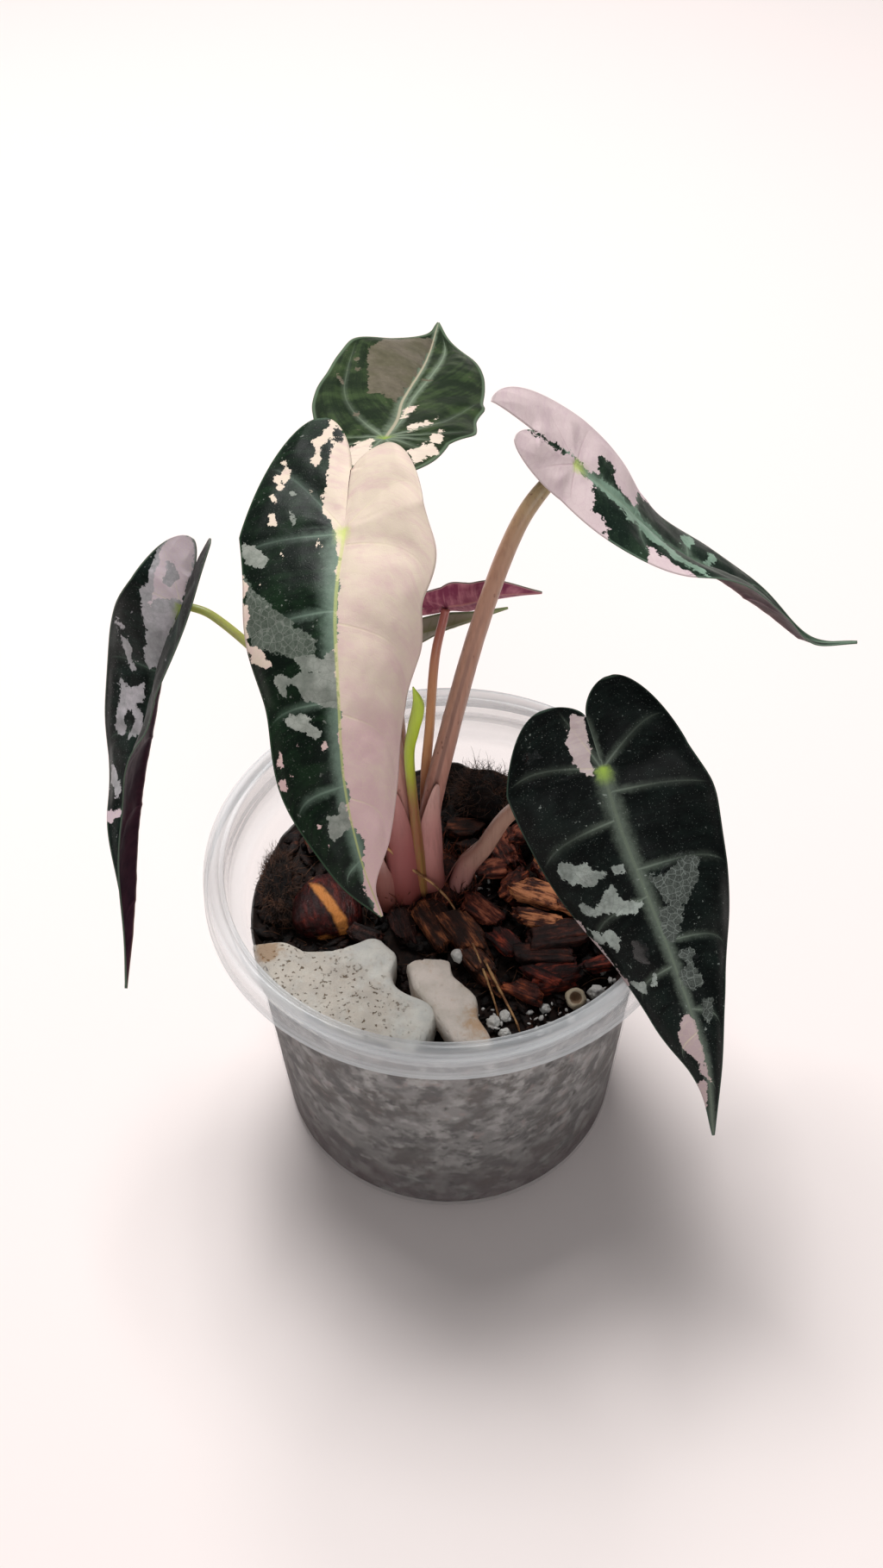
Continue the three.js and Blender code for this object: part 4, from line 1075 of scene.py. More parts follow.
BARK_TONES = {
    "bark_mid_back": ("reddish", (34, 13, 10), (112, 50, 36), (176, 104, 76), 0.55),
    "bark_mid_front": ("russet", (30, 12, 9), (98, 42, 28), (178, 96, 56), 0.5),
    # The orange tone is orange bark with a painted highlight: a lit, brighter copy of the other bark tones.
    "bark_long_back": ("orange_highlight", (48, 18, 10), (138, 62, 34), (206, 136, 92), 0.8),
    "bark_long_middle": ("dusky", (20, 10, 9), (60, 30, 24), (116, 62, 46), 0.45),
    "bark_long_front": ("maroon", (26, 9, 8), (80, 28, 22), (156, 66, 44), 0.55),
    "bark_strip": ("fibrous", (38, 19, 13), (102, 56, 36), (164, 100, 62), 0.55),
    "bark_back_left": ("old", (20, 12, 10), (62, 36, 28), (120, 76, 52), 0.45),
    "bark_back_right": ("umber", (22, 13, 10), (70, 40, 28), (136, 84, 52), 0.45),
    "bark_back": ("brown", (24, 13, 10), (74, 40, 28), (128, 72, 46), 0.45),
}

# Bare strips on the round husk, drawn over a part of the photograph with this left, top and enlargement
HUSK_VIEW = (270, 840, 3.2)
HUSK_STRIPS = [
    [(283, 590), (325, 598), (370, 650), (420, 720), (428, 770), (402, 802), (392, 762), (372, 712),
     (330, 655)],
    [(315, 790), (350, 784), (388, 798), (380, 824), (322, 818)],
    [(262, 545), (292, 540), (296, 572), (270, 578)],
    [(205, 572), (236, 566), (232, 596), (208, 600)],
    [(186, 780), (208, 776), (240, 806), (215, 815)],
]


def make_bark():
    for name, values in CHUNKS.items():
        husk = name == "husk_round"
        square = ROUND if husk or "coir" in name else SQUARENESS
        points, faces, grain = chunk_points(**values, flakes=0.1 if husk else 0.8, facets=0 if husk else 10,
                                            square=square)
        marks = {"grain": grain}
        if name in BARK_TONES:
            tone, dark, middle, bright, brightness = BARK_TONES[name]
            finish = bark_finish(f"bark_{tone}", dark, middle, bright, brightness)
        elif husk:
            marks["pale"] = fields(points, {"pale": [(HUSK_VIEW, strip) for strip in HUSK_STRIPS]})["pale"]
            finish = bark_finish("husk", (30, 8, 8), (70, 20, 17), (112, 42, 30), 0.4, 0.4,
                                 strip=(208, 134, 68))
        else:
            finish = bark_finish(name, (8, 5, 4), (30, 19, 14), (62, 40, 28), 0.4, 0.9)
        piece(f"{name}_piece", points, faces, marks, [finish], [name])


# Shards of bark on the mix and against the stem: (upper end, lower end, half width, half thickness, tone)
# Shards in the orange tone carry its painted highlight.
SHARDS = [
    ((-6.5, -3, 75), (1, -13.5, 70), 4.6, 2.3, "fibrous"),
    ((-1, -5.5, 74), (8.5, -18, 70), 4.2, 2.0, "fibrous"),
    ((2.5, -1.5, 73.5), (12.5, -8.5, 69.5), 3.4, 1.8, "reddish"),
    ((-12, -3.5, 73), (-9.5, -11.5, 69), 3.2, 1.6, "dusky"),
    ((6, 6, 72.5), (15, 9, 69.5), 3.4, 1.9, "reddish"), ((18, 8, 72), (32, 11, 69), 4.2, 2.2, "orange_highlight"),
    ((20, 2, 71.5), (25.5, 13.5, 70), 3.2, 1.8, "russet"),
    ((13.5, 1, 72.5), (27, -4, 71.5), 4.2, 2.0, "orange_highlight"),
    ((11.5, -16.5, 70), (31, -16, 68.5), 3.0, 1.6, "dusky"),
    ((10, -9.5, 70), (16, -16.5, 69), 3.2, 1.6, "maroon"),
    ((12, -24, 69.5), (22, -28, 68), 2.9, 1.5, "russet"), ((34, -12, 70), (40, -3, 69), 3.1, 1.7, "umber"),
    ((22, 24, 71.5), (35, 26, 69), 4, 2.1, "umber"), ((-1, 20, 71), (10, 21.5, 69), 3.6, 1.8, "brown"),
    ((-11, 15, 72), (-21, 11, 69), 3.8, 2, "old"), ((-34, 14, 70.5), (-27, 25, 69), 3.4, 1.9, "brown"),
    ((-18, 30, 70), (-8, 24.5, 69), 3.1, 1.8, "umber"), ((35, 7, 71), (41, 14, 69), 3.0, 1.7, "russet"),
    ((-22, 4, 71), (-18.5, 13, 69.2), 3.1, 1.7, "fibrous"),
    ((-23, -8.5, 70), (-14.5, -12.5, 68.8), 2.9, 1.5, "dusky"),
    ((9, 12, 71.5), (3, 17, 69.5), 2.9, 1.7, "old"), ((20, 30, 71), (29, 33, 68.5), 2.9, 1.7, "brown"),
    ((-31, 28, 70), (-21, 33, 68.5), 3.0, 1.7, "umber"),
    ((29, -20.5, 69.5), (38, -17, 68.3), 2.5, 1.4, "maroon"),
    ((24, -3, 73), (36, -8, 71), 3.3, 1.7, "orange_highlight"), ((13, -6.5, 71.5), (27, -9.5, 71), 3.0, 1.5, "orange_highlight"),
    ((3.5, -15, 71.5), (9.5, -24, 70), 3.2, 1.8, "fibrous"),
    ((15, 14, 73), (21, 21, 70.5), 3.0, 1.8, "reddish"),
    ((15.5, -20.5, 70.5), (24, -24, 69.5), 2.4, 1.4, "maroon"),
    ((-17, 19, 71), (-10, 27, 69.5), 3.0, 1.8, "brown"),
]


def make_shards():
    """Thin chunks, each turned so that its length runs between its two ends, gathered by colour"""
    by_tone = {}
    for seed, (high, low, width, thick, tone) in enumerate(SHARDS):
        high, low = np.array(high, float), np.array(low, float)
        ahead = unit(high - low)
        across = unit(np.cross(ahead, np.array([0, 0, 1.0])))
        frame_of = np.stack([ahead, across, np.cross(ahead, across)])
        size = (np.linalg.norm(high - low) / 1.8, width, thick)
        points, faces, grain = chunk_points((0, 0, 0), size, 0, 60 + seed, 0.6, 9, 60, 48)
        by_tone.setdefault(tone, []).append((points @ frame_of + (high + low) / 2, faces, {"grain": grain}))
    tones = {tone: bpy.data.materials[f"bark_{tone}"] for tone in by_tone}
    for tone, parts in by_tone.items():
        points, faces, marks = gather(parts)
        piece(f"bark_shards_{tone}", points, faces, marks, [tones[tone]])


def make_fuzz():
    """Coir hairs that stand off the two coir lumps"""
    random = np.random.default_rng(41)
    starts, ways, lengths = [], [], []
    for name, count in (("coir_left", 900), ("coir_back", 900)):
        points, _, _ = chunk_points(**CHUNKS[name], flakes=0.8, square=ROUND)
        centre = np.array(CHUNKS[name]["at"])
        chosen = points[random.integers(0, len(points), count * 2)]
        chosen = chosen[chosen[:, 2] > centre[2] - 1][:count]
        away = unit(chosen - centre) + random.normal(0, 0.55, chosen.shape)
        starts.append(chosen - 0.4 * unit(chosen - centre))
        ways.append(away)
        lengths.append(1.4 + 3.6 * random.random(len(chosen))**1.5)
    points, faces = hairs(np.vstack(starts), np.vstack(ways), np.concatenate(lengths), 0.09, random, 0.9, 6)
    inside = np.hypot(points[:, 0], points[:, 1])
    limit = mix_edge(70.0) - 1.0
    points[:, :2] *= np.minimum(1, limit / inside)[:, None]
    piece("coir_hairs", points, faces, {}, [fibre_finish("coir_hairs", (20, 12, 9), (92, 58, 38))],
          join=0.0)


# Marks laid by the photograph

def inside_by(place, outline):
    """How far places lie inside a closed outline, negative outside: the distance to its nearest side,
    signed by how often a level ray crosses it. An outline of one (x, y, radius) is a circle."""
    if len(outline) == 1:
        x, y, radius = outline[0]
        return radius - np.hypot(place[:, 0] - x, place[:, 1] - y)
    a = np.array(outline, float)
    side = np.roll(a, -1, 0) - a
    to = place[:, None] - a
    share = np.clip((to * side).sum(-1) / (side**2).sum(-1), 0, 1)
    gap = np.linalg.norm(to - share[..., None] * side, axis=-1).min(1)
    spans = (a[:, 1] > place[:, None, 1]) != (np.roll(a[:, 1], -1) > place[:, None, 1])
    rise = np.where(side[:, 1] == 0, 1e-9, side[:, 1])
    meets = a[:, 0] + side[:, 0] * (place[:, None, 1] - a[:, 1]) / rise
    crossed = (spans & (place[:, None, 0] < meets)).sum(1)
    return np.where(crossed % 2 == 1, gap, -gap)


FAR_OUTSIDE = -20.0


def fields(points, marks, kinds=("pale",)):
    """For each kind of mark, how many mm each point lies inside its outlines, or outside as a negative.

    marks has {kind: [(view, outline), ...]}. A kind that starts with "no_" is cut from its kind.
    """
    pixels, depth = seen_at(points)
    scale = depth / LENS_PIXELS
    kinds = dict.fromkeys([*kinds, *(k for k in marks if not k.startswith("no_"))])
    result = {kind: np.full(len(points), FAR_OUTSIDE) for kind in kinds}
    for kind, drawn in marks.items():
        target = kind.removeprefix("no_")
        for (left, top, zoom), outline in drawn:
            inside = inside_by((pixels - [left, top]) * zoom, outline) / zoom * scale
            if kind == target:
                result[target] = np.maximum(result[target], inside)
            else:
                result[target] = np.minimum(result[target], -inside)
    return result


# Stem base, stalks, sheaths and roots

def make_stem_base():
    """The stem base: a lumpy turned core with upright fibres, a ragged top and loose threads"""
    rows, sides = 70, 120
    share = np.linspace(0, 1, rows)
    profile = [(0, 48), (5.8, 48), (10.3, 62), (11.0, 68.5), (10.4, 71.6), (8.6, 73.0), (4.0, 73.6),
               (0, 73.6)]
    profile = rounded(profile, 3)
    at = np.linspace(0, 1, len(profile))
    radius, height = np.interp(share, at, profile[:, 0]), np.interp(share, at, profile[:, 1])
    points = lathe(np.stack([radius, height], -1), sides).reshape(rows, sides, 3)
    drawn = points * [1, 1, 0.12]
    lumps = 0.07 * fractal(drawn, 2.0, 4, 5) + 0.05 * fractal(points, 6.0, 3, 6)
    points = points * (1 + lumps[..., None] * [1, 1, 0])
    points[..., 2] += 0.5 * fractal(points, 2.5, 3, 7) * smooth(share, 0.6, 0.9)[:, None]
    close_poles(points)
    points = points.reshape(-1, 3) + [*CROWN, 0]
    grain = points[:, [2, 0, 1]]
    finish = bark_finish("stem_fibre", (38, 17, 13), (92, 46, 34), (160, 92, 58), 0.5)
    piece("stem_base_core", points, grid(rows, sides, ring=True), {"grain": grain}, [finish],
          ["stem_base"])
    random = np.random.default_rng(55)
    count = 150
    turn = 2 * np.pi * random.random(count)
    reach = 8.6 + 1.8 * random.random(count)
    starts = np.stack([CROWN[0] + reach * np.cos(turn), CROWN[1] + reach * np.sin(turn),
                       72.5 - 3 * random.random(count)], -1)
    away = np.stack([0.8 * np.cos(turn), 0.8 * np.sin(turn), -0.9 - 0.8 * random.random(count)], -1)
    away = away + random.normal(0, 0.25, (count, 3))
    turn = 2 * np.pi * random.random(count)
    reach = 7.4 + 2.2 * random.random(count)
    rising = np.stack([CROWN[0] + 1 + 1.15 * reach * np.cos(turn), CROWN[1] - 1.5 + reach * np.sin(turn),
                       np.full(count, 70.5)], -1)
    upward = np.stack([0.25 * np.cos(turn), 0.25 * np.sin(turn), np.ones(count)], -1)
    upward = upward + random.normal(0, 0.18, (count, 3))
    starts, away = np.vstack([starts, rising]), np.vstack([away, upward])
    lengths = np.concatenate([2 + 4 * random.random(count), 3 + 4.5 * random.random(count)])
    points, faces = hairs(starts, away, lengths, np.repeat([0.12, 0.3], count), random, 0.3, 7)
    piece("stem_threads", points, faces, {}, [fibre_finish("stem_threads", (52, 24, 17), (134, 70, 42))],
          join=0.0)


STALKS = {
    "front": {"foot": (-8.8, 1),
              "path": [(-9.6, 1.5, 98), (-11.5, 3, 125), (-14.5, 4.5, 152), (-17, 1.5, 170)],
              "radii": (2.2, 2.1, 1.8, 1.5, 1.2, 0.6)},
    "back": {"foot": (-9.5, 7.5), "path": [(-10, 10, 105), (-11.5, 15, 140), (-11.7, 22, 163)],
             "radii": (2.2, 1.9, 1.6, 1.4, 0.6)},
    "pink": {"foot": (-3.4, 4.2),
             "path": [(-3.8, 4.2, 92), (0, 6, 113.5), (6.8, 8.2, 144.5), (13.8, 11, 167), (20, 14.5, 176)],
             "radii": (2.5, 2.4, 2.2, 1.9, 1.7, 1.5, 0.5)},
    "dark": {"foot": (1.9, 1.6), "path": [(4.6, 1.4, 79.5), (8.3, 0, 87), (14, -2, 101), (25, -7.5, 117)],
             "radii": (2.4, 2.4, 2.0, 1.75, 1.5, 0.5)},
    "folded": {"foot": (-13.2, 3.2),
               "path": [(-14.5, 4.5, 92), (-24, 9, 113), (-36, 14, 130), (-47, 18, 140.5)],
               "radii": (2, 1.9, 1.3, 1, 0.9, 0.8)},
    "small_high": {"foot": (-4.8, 10), "path": [(-4.4, 9.4, 100), (-3.3, 10.6, 115), (-1.9, 14, 132)],
                   "radii": (1.5, 1.2, 1.05, 1, 0.9)},
    "small_low": {"foot": (-9, 12.6), "path": [(-10, 15, 95), (-13, 22, 112)], "radii": (1.4, 1.2, 1, 0.8)},
}
UNDER_MIDRIB = 1.0

STALK_TONES = {
    "front": dict(foot=(176, 112, 108), middle=(200, 156, 140), top=(214, 206, 150),
                  spots=(130, 76, 74)),
    "back": dict(foot=(176, 120, 112), middle=(186, 152, 122), top=(176, 184, 122),
                 spots=(128, 82, 70)),
    "pink": dict(foot=(190, 132, 126), middle=(178, 134, 112), top=(172, 160, 112),
                 spots=(112, 68, 56), spotted=0.75, line=0.72),
    "dark": dict(foot=(168, 116, 112), middle=(172, 134, 118), top=(166, 136, 108),
                 spots=(112, 74, 66), spotted=0.7),
    "folded": dict(foot=(170, 126, 108), middle=(176, 176, 98), top=(168, 180, 92),
                   spots=(150, 118, 76)),
    "small_high": dict(foot=(198, 146, 118), middle=(206, 152, 104), top=(170, 100, 92),
                       spots=(168, 104, 76)),
    "small_low": dict(foot=(196, 156, 122), middle=(188, 168, 124), top=(186, 178, 134),
                      spots=(142, 110, 86)),
}


def stalk_path(name):
    """The stalk's points: its foot on the stem base, its path, and just under its leaf's midrib"""
    leaf = LEAVES[name]
    values = STALKS[name]
    junction = half_blade(leaf, 1, np.array([0.0]), np.array([0.0]))[0, 0]
    _, ahead = along(leaf["midrib"], np.array([0.0]))
    across = np.array(leaf["across"][0], float)
    down = unit(np.cross(ahead[0], across))
    return [(*values["foot"], STALK_FOOT - 2.5), *values["path"], tuple(junction + down * UNDER_MIDRIB)]


def make_stalks():
    """Each stalk is a rod, a little ridged: its radius waves five times round it"""
    def ridge(points, lap):
        return 1 + 0.025 * np.cos(5 * 2 * np.pi * lap) + 0.02 * noise(points, 3.0, 5)

    for name, values in STALKS.items():
        points, faces, marks = tube(stalk_path(name), values["radii"], 24, 90, ridge)
        finish = stalk_finish(f"stalk_{name}_skin", **STALK_TONES[name])
        piece(f"stalk_{name}_rod", points, faces, marks, [finish], [f"stalk_{name}"])


def make_rolled_leaf():
    """The young leaf: a strip rolled one and a quarter times, its radius growing with the turn"""
    path = [(-5.4, -0.9, STALK_FOOT - 1), (-6.2, -0.8, 87), (-6.9, -0.5, 101), (-7.5, -0.4, 117.5),
            (-6.4, -0.2, 125.5), (-5.3, 0, 132), (-6.3, 0.2, 137)]
    steps, sides = 110, 44
    at = np.linspace(0, 1, steps + 1)
    centre, ahead = along(path, at)
    radius = through(np.linspace(0, 1, 7), (1.6, 1.5, 1.25, 1.25, 1.45, 1.4, 0.18), at)
    across = unit(np.cross(ahead, np.array([0.0, 1, 0])))
    beside = np.cross(ahead, across)
    lap = np.linspace(0, 1, sides)
    turn = 2 * np.pi * 1.22 * lap + 0.6 + 0.5 * at[:, None]
    grown = 0.74 + 0.3 * lap
    outer = radius[:, None] * grown
    inner = np.maximum(outer - 0.22, outer * 0.5)
    outside, inside = (round_axis(centre, across, beside, turn, reach) for reach in (outer, inner))
    points = np.concatenate([outside, inside[:, ::-1]], 1)
    points, faces, marks = closed_rings(points, at, np.linspace(0, 1, 2 * sides))
    finish = stalk_finish("young_leaf_skin", (150, 96, 66), (176, 192, 44), (190, 214, 60),
                          (128, 140, 36), spotted=0.1, gloss=0.34, turn=(0.34, 0.5, 0.98))
    piece("leaf_rolled_strip", points, faces, marks, [finish], ["leaf_rolled"])


SHEATHS = [
    # name, axis points, radii, middle of the wrap and half its width in degrees from foot to top, colours
    ("sheath_front", [(-9.2, 0.4, 69.5), (-9.5, 0.5, 80), (-9.8, 0.9, 94), (-10.4, 1.6, 108)],
     (4.7, 4.0, 3.2, 2.5), ((-110, -120), (120, 60)), ((116, 52, 46), (158, 88, 86), (186, 128, 122))),
    ("sheath_pink", [(-4.2, 2.4, 69.5), (-4.3, 2.4, 82), (-4.1, 3.0, 95), (-3.5, 4.0, 106)],
     (4.0, 3.4, 2.8, 2.45), ((-75, -50), (115, 42)), ((148, 82, 74), (196, 136, 130), (206, 160, 150))),
    ("sheath_dark", [(1.2, 1.4, 70), (4.2, 1.3, 78.5), (7.6, 0.3, 85.5), (9.0, -0.3, 88.5)],
     (2.8, 2.45, 2.15, 1.75), ((70, 90), (110, 60)), ((122, 72, 66), (150, 108, 98), (168, 138, 120))),
    ("sheath_left", [(-12.4, 0.6, 69), (-13.4, 0.2, 76), (-14.2, 0.2, 83), (-14.2, 0.8, 88)],
     (4.2, 3.6, 2.6, 1.6), ((-120, -140), (110, 50)), ((120, 62, 52), (156, 100, 92), (200, 160, 150))),
]


def make_sheaths():
    """Sheaths: strips wrapped part of the way round a curved axis, narrowing to a pointed top"""
    for name, axis, radii, ((low_turn, top_turn), (low_width, top_width)), tones in SHEATHS:
        steps, sides = 60, 36
        at = np.linspace(0, 1, steps)
        centre, ahead = along(axis, at)
        radius = through(np.linspace(0, 1, len(radii)), radii, at)
        across = unit(np.cross(np.array([0.0, 1, 0]), ahead))
        beside = np.cross(ahead, across)
        middle = np.radians(low_turn + (top_turn - low_turn) * at)
        width = np.radians(low_width + (top_width - low_width) * at) * np.sqrt(np.clip(1 - at**6, 0.0004, 1))
        lap = np.linspace(-1, 1, sides)
        turn = middle[:, None] + width[:, None] * lap
        wave = 1 + 0.05 * np.sin(9 * at[:, None] + 4 * lap) * np.abs(lap)
        sheet = []
        for offset in (0.16, -0.16):
            reach = radius[:, None] * wave + offset * (1 - 0.6 * np.abs(lap)**4)
            sheet.append(round_axis(centre, across, beside, turn, reach))
        points = np.concatenate([sheet[0], sheet[1][:, ::-1]], 1)
        points, faces, marks = closed_rings(points, at, np.linspace(0, 1, 2 * sides))
        foot, body, top = tones
        finish = stalk_finish(f"{name}_skin", foot, body, top, (132, 84, 80), spotted=0.15, gloss=0.42)
        piece(name, points, faces, marks, [finish])


FIBRE_RADII = (0.34, 0.3, 0.26, 0.22)
FIBRES = {
    "fibre_long": [(-13.6, -1.6, 90), (-7.5, -2.6, 83), (-2.9, -3, 78), (1, -6, 74.6), (4.8, -13.8, 72.6),
                   (7.3, -20.8, 71.8), (10.4, -30, 68), (11, -32.5, 64)],
    "fibre_short": [(8, -20.5, 73), (10.6, -25.5, 70.6), (12.6, -29.2, 69), (15, -34.5, 67.4),
                    (15.4, -36, 63.5)],
}


def make_fibres():
    """Two dry roots: rods whose thickness wavers"""
    finish = fibre_finish("dry_root", (120, 78, 46), (190, 146, 96), 0.6)
    def waver(points, lap):
        return 1 + 0.35 * noise(points, 1.3, 3)

    for name, path in FIBRES.items():
        points, faces, marks = tube(path, FIBRE_RADII, 8, 120, waver)
        piece(f"{name}_root", points, faces, marks, [finish], [name])


# Leaves: each blade is ruled from its midrib. A half has its own widths, fold and curl, in degrees, from
# the stalk to the tip, and a lobe behind the stalk. "right" is the half on the side of "across".

WIDTH_AT = (0, 0.12, 0.28, 0.45, 0.62, 0.78, 0.9, 1)
FOLD_AT = (0, 0.45, 1)
SINUS_SHARE = 0.5
LOBE_SHARE = 0.25
TIP_WIDTH = 0.3

LEAVES = {
    "front": {
        "midrib": [(-17.6, -5, 181), (-19, -20.3, 176.5), (-18.6, -33, 167), (-18, -42.2, 155),
                   (-15.6, -49, 142.5), (-12.2, -52.5, 129.7)],
        "across": [(-0.97, 0.15, -0.19), (-0.95, -0.27, -0.16)],
        "right": {"widths": (20, 18.5, 18, 14.6, 12.2, 7.3, 3.9), "fold": (5, -7, 5), "curl": (-7, -24, 3),
                  "lobe": 26, "lobe_end": 0.35, "phase": 1.1, "first": 0.01},
        "left": {"widths": (17.6, 17.6, 15, 12.7, 10.7, 6.2, 1), "fold": (20, -14, 5), "curl": (6, -35, 3),
                 "lobe": 17, "lobe_end": 0.37, "phase": 0.5, "first": 0.04, "steep": 0.12,
                 "bumps": [(0.1, 0.05, 0.9), (0.2, 0.04, -0.9), (0.3, 0.04, 0.5), (0.4, 0.04, -0.4)]},
        "sinus": 13.2, "lobe_shape": 1.2, "wave": -0.3, "waves": 3,
    },
    "back": {
        "midrib": [(-11, 30, 176), (-8.8, 41, 172.5), (-7.7, 55, 168), (-4, 71, 164.5), (-2, 86.5, 159.5),
                   (0, 102.5, 157)],
        "across": [(0.99, -0.1, 0.06), (0.98, -0.14, -0.16)],
        "right": {"widths": (12.9, 16, 16.5, 16.5, 13.6, 8.7, 3.3), "fold": (1, 4, 8), "curl": (-12, -10, 6),
                  "lobe": 20, "lobe_end": 0.56, "phase": 0.4, "rays": (34, 30),
                  "bumps": [(0.12, 0.05, 0.7), (0.36, 0.05, 0.8), (0.24, 0.05, -0.5)]},
        "left": {"widths": (15, 16.5, 17.5, 18.4, 16, 8.7, 1.9), "fold": (-7, 8, 13), "curl": (-21, -2, 11),
                 "lobe": 20.5, "lobe_end": 0.5, "phase": 1.7, "rays": (26, 36),
                 "bumps": [(0.64, 0.06, 0.9), (0.3, 0.05, 0.5), (0.45, 0.05, -0.5)]},
        "sinus": 8, "lobe_shape": 1.2, "wave": 0.4, "waves": 3,
    },
    "pink": {
        "midrib": [(25.5, 18, 177.8), (35.7, 17.5, 168.2), (44.5, 17, 158.5), (56, 17, 150.5), (66, 17, 142),
                   (76.5, 17, 133), (87, 17, 132)],
        "across": [(-0.31, -0.91, -0.29), (0, -0.99, -0.11)],
        "right": {"widths": (8.6, 12, 15.4, 14.2, 9.6, 4.4, 1.8), "fold": (2, 51, 24), "curl": (-10, -6, -3),
                  "lobe": 14.5, "lobe_end": 0.48, "phase": 0.4},
        "left": {"widths": (12.4, 13, 13.8, 12.4, 8, 2.1, 0.4), "fold": (-10, -22, 43), "curl": (-4, -9, 0),
                 "lobe": 22, "lobe_end": -0.12, "phase": 0.1},
        "sinus": 10.5, "lobe_shape": 1.7, "wave": 0.2, "waves": 3,
    },
    "dark": {
        "midrib": [(31.7, -11, 124), (35.6, -20.5, 115), (40.6, -30, 106), (45, -38.5, 98), (49, -46.5, 89.5),
                   (52.5, -54, 80), (54.5, -61, 65.5)],
        "across": [(-0.94, -0.1, -0.31), (-0.99, -0.03, -0.12)],
        "right": {"widths": (20.6, 20.4, 19.5, 16, 11.3, 6.7, 1.9), "fold": (-3, -18, -10),
                  "curl": (-5, -31, -11), "lobe": 15, "lobe_end": 0.38, "phase": 1.05, "first": 0.13,
                  "steep": 0.06},
        "left": {"widths": (18, 21, 20.2, 17, 10.5, 5.2, 2.2), "fold": (-4, -16, -14), "curl": (-3, -29, -16),
                 "lobe": 17.7, "lobe_end": 0.38, "phase": 1.36, "first": 0.06, "steep": 0.05},
        "sinus": 11, "lobe_shape": 1.2, "wave": 1.1, "waves": 3,
    },
    "folded": {
        "midrib": [(-54, 19.5, 142.5), (-59.5, 16.5, 130), (-62.5, 11.5, 119), (-65, 4.5, 110),
                   (-67, -5, 100), (-68.5, -16.5, 86), (-69.5, -30, 77.5)],
        "across": [(-0.9, 0.31, 0.31), (-0.82, 0.33, -0.47)],
        "right": {"widths": (12.7, 15.2, 16, 14.7, 10.3, 4.2, 1.1), "fold": (-15, -24, 26),
                  "curl": (2, -8, 1), "lobe": 15, "lobe_end": 0.24, "phase": 0.86},
        "left": {"widths": (13.5, 15.8, 16.8, 15, 10.2, 4.9, 2.2), "fold": (75, 78, 86), "curl": (-6, -6, -3),
                 "lobe": 21, "lobe_end": 0.68, "phase": -0.65},
        "sinus": 7.3, "lobe_shape": 1.2, "wave": 1.1, "waves": 3,
    },
    "small_high": {
        "midrib": [(0.5, 20, 141.5), (6, 20, 142.5), (12, 20.5, 144), (20.5, 21, 143.5)],
        "across": [(0, -0.36, 0.93), (0, -0.36, 0.93)],
        "right": {"widths": (5.5, 6.3, 6.4, 5.6, 4.2, 2.6, 1.3), "fold": (8, 8, 10), "curl": (8, 8, 4),
                  "lobe": 9, "lobe_end": 0.4, "phase": 0.3},
        "left": {"widths": (5.5, 6.3, 6.4, 5.6, 4.2, 2.6, 1.3), "fold": (8, 8, 10), "curl": (8, 8, 4),
                 "lobe": 9, "lobe_end": 0.4, "phase": 1.2},
        "sinus": 4, "lobe_shape": 1.6, "wave": 0.4, "waves": 2,
    },
    "small_low": {
        "midrib": [(-14, 30, 121.5), (-5, 30.5, 124), (4, 30, 127.5), (14, 29.5, 132)],
        "across": [(0.1, -0.93, 0.3), (0.2, -0.9, 0.3)],
        "right": {"widths": (7, 8.5, 8.2, 6.5, 4, 2, 1), "fold": (6, 10, 30), "curl": (6, 8, 4),
                  "lobe": 8, "lobe_end": 0.4, "phase": 0.3},
        "left": {"widths": (5.2, 6, 6, 5, 3.6, 2, 1), "fold": (6, 10, 30), "curl": (6, 8, 4),
                 "lobe": 8, "lobe_end": 0.4, "phase": 1.2},
        "sinus": 4, "lobe_shape": 1.6, "wave": 0.4, "waves": 2,
    },
}
VEINS = 5
LOBE_VEINS = 1.7
UNDER_LAYER = 0.28
RIM_LAYER = 0.12


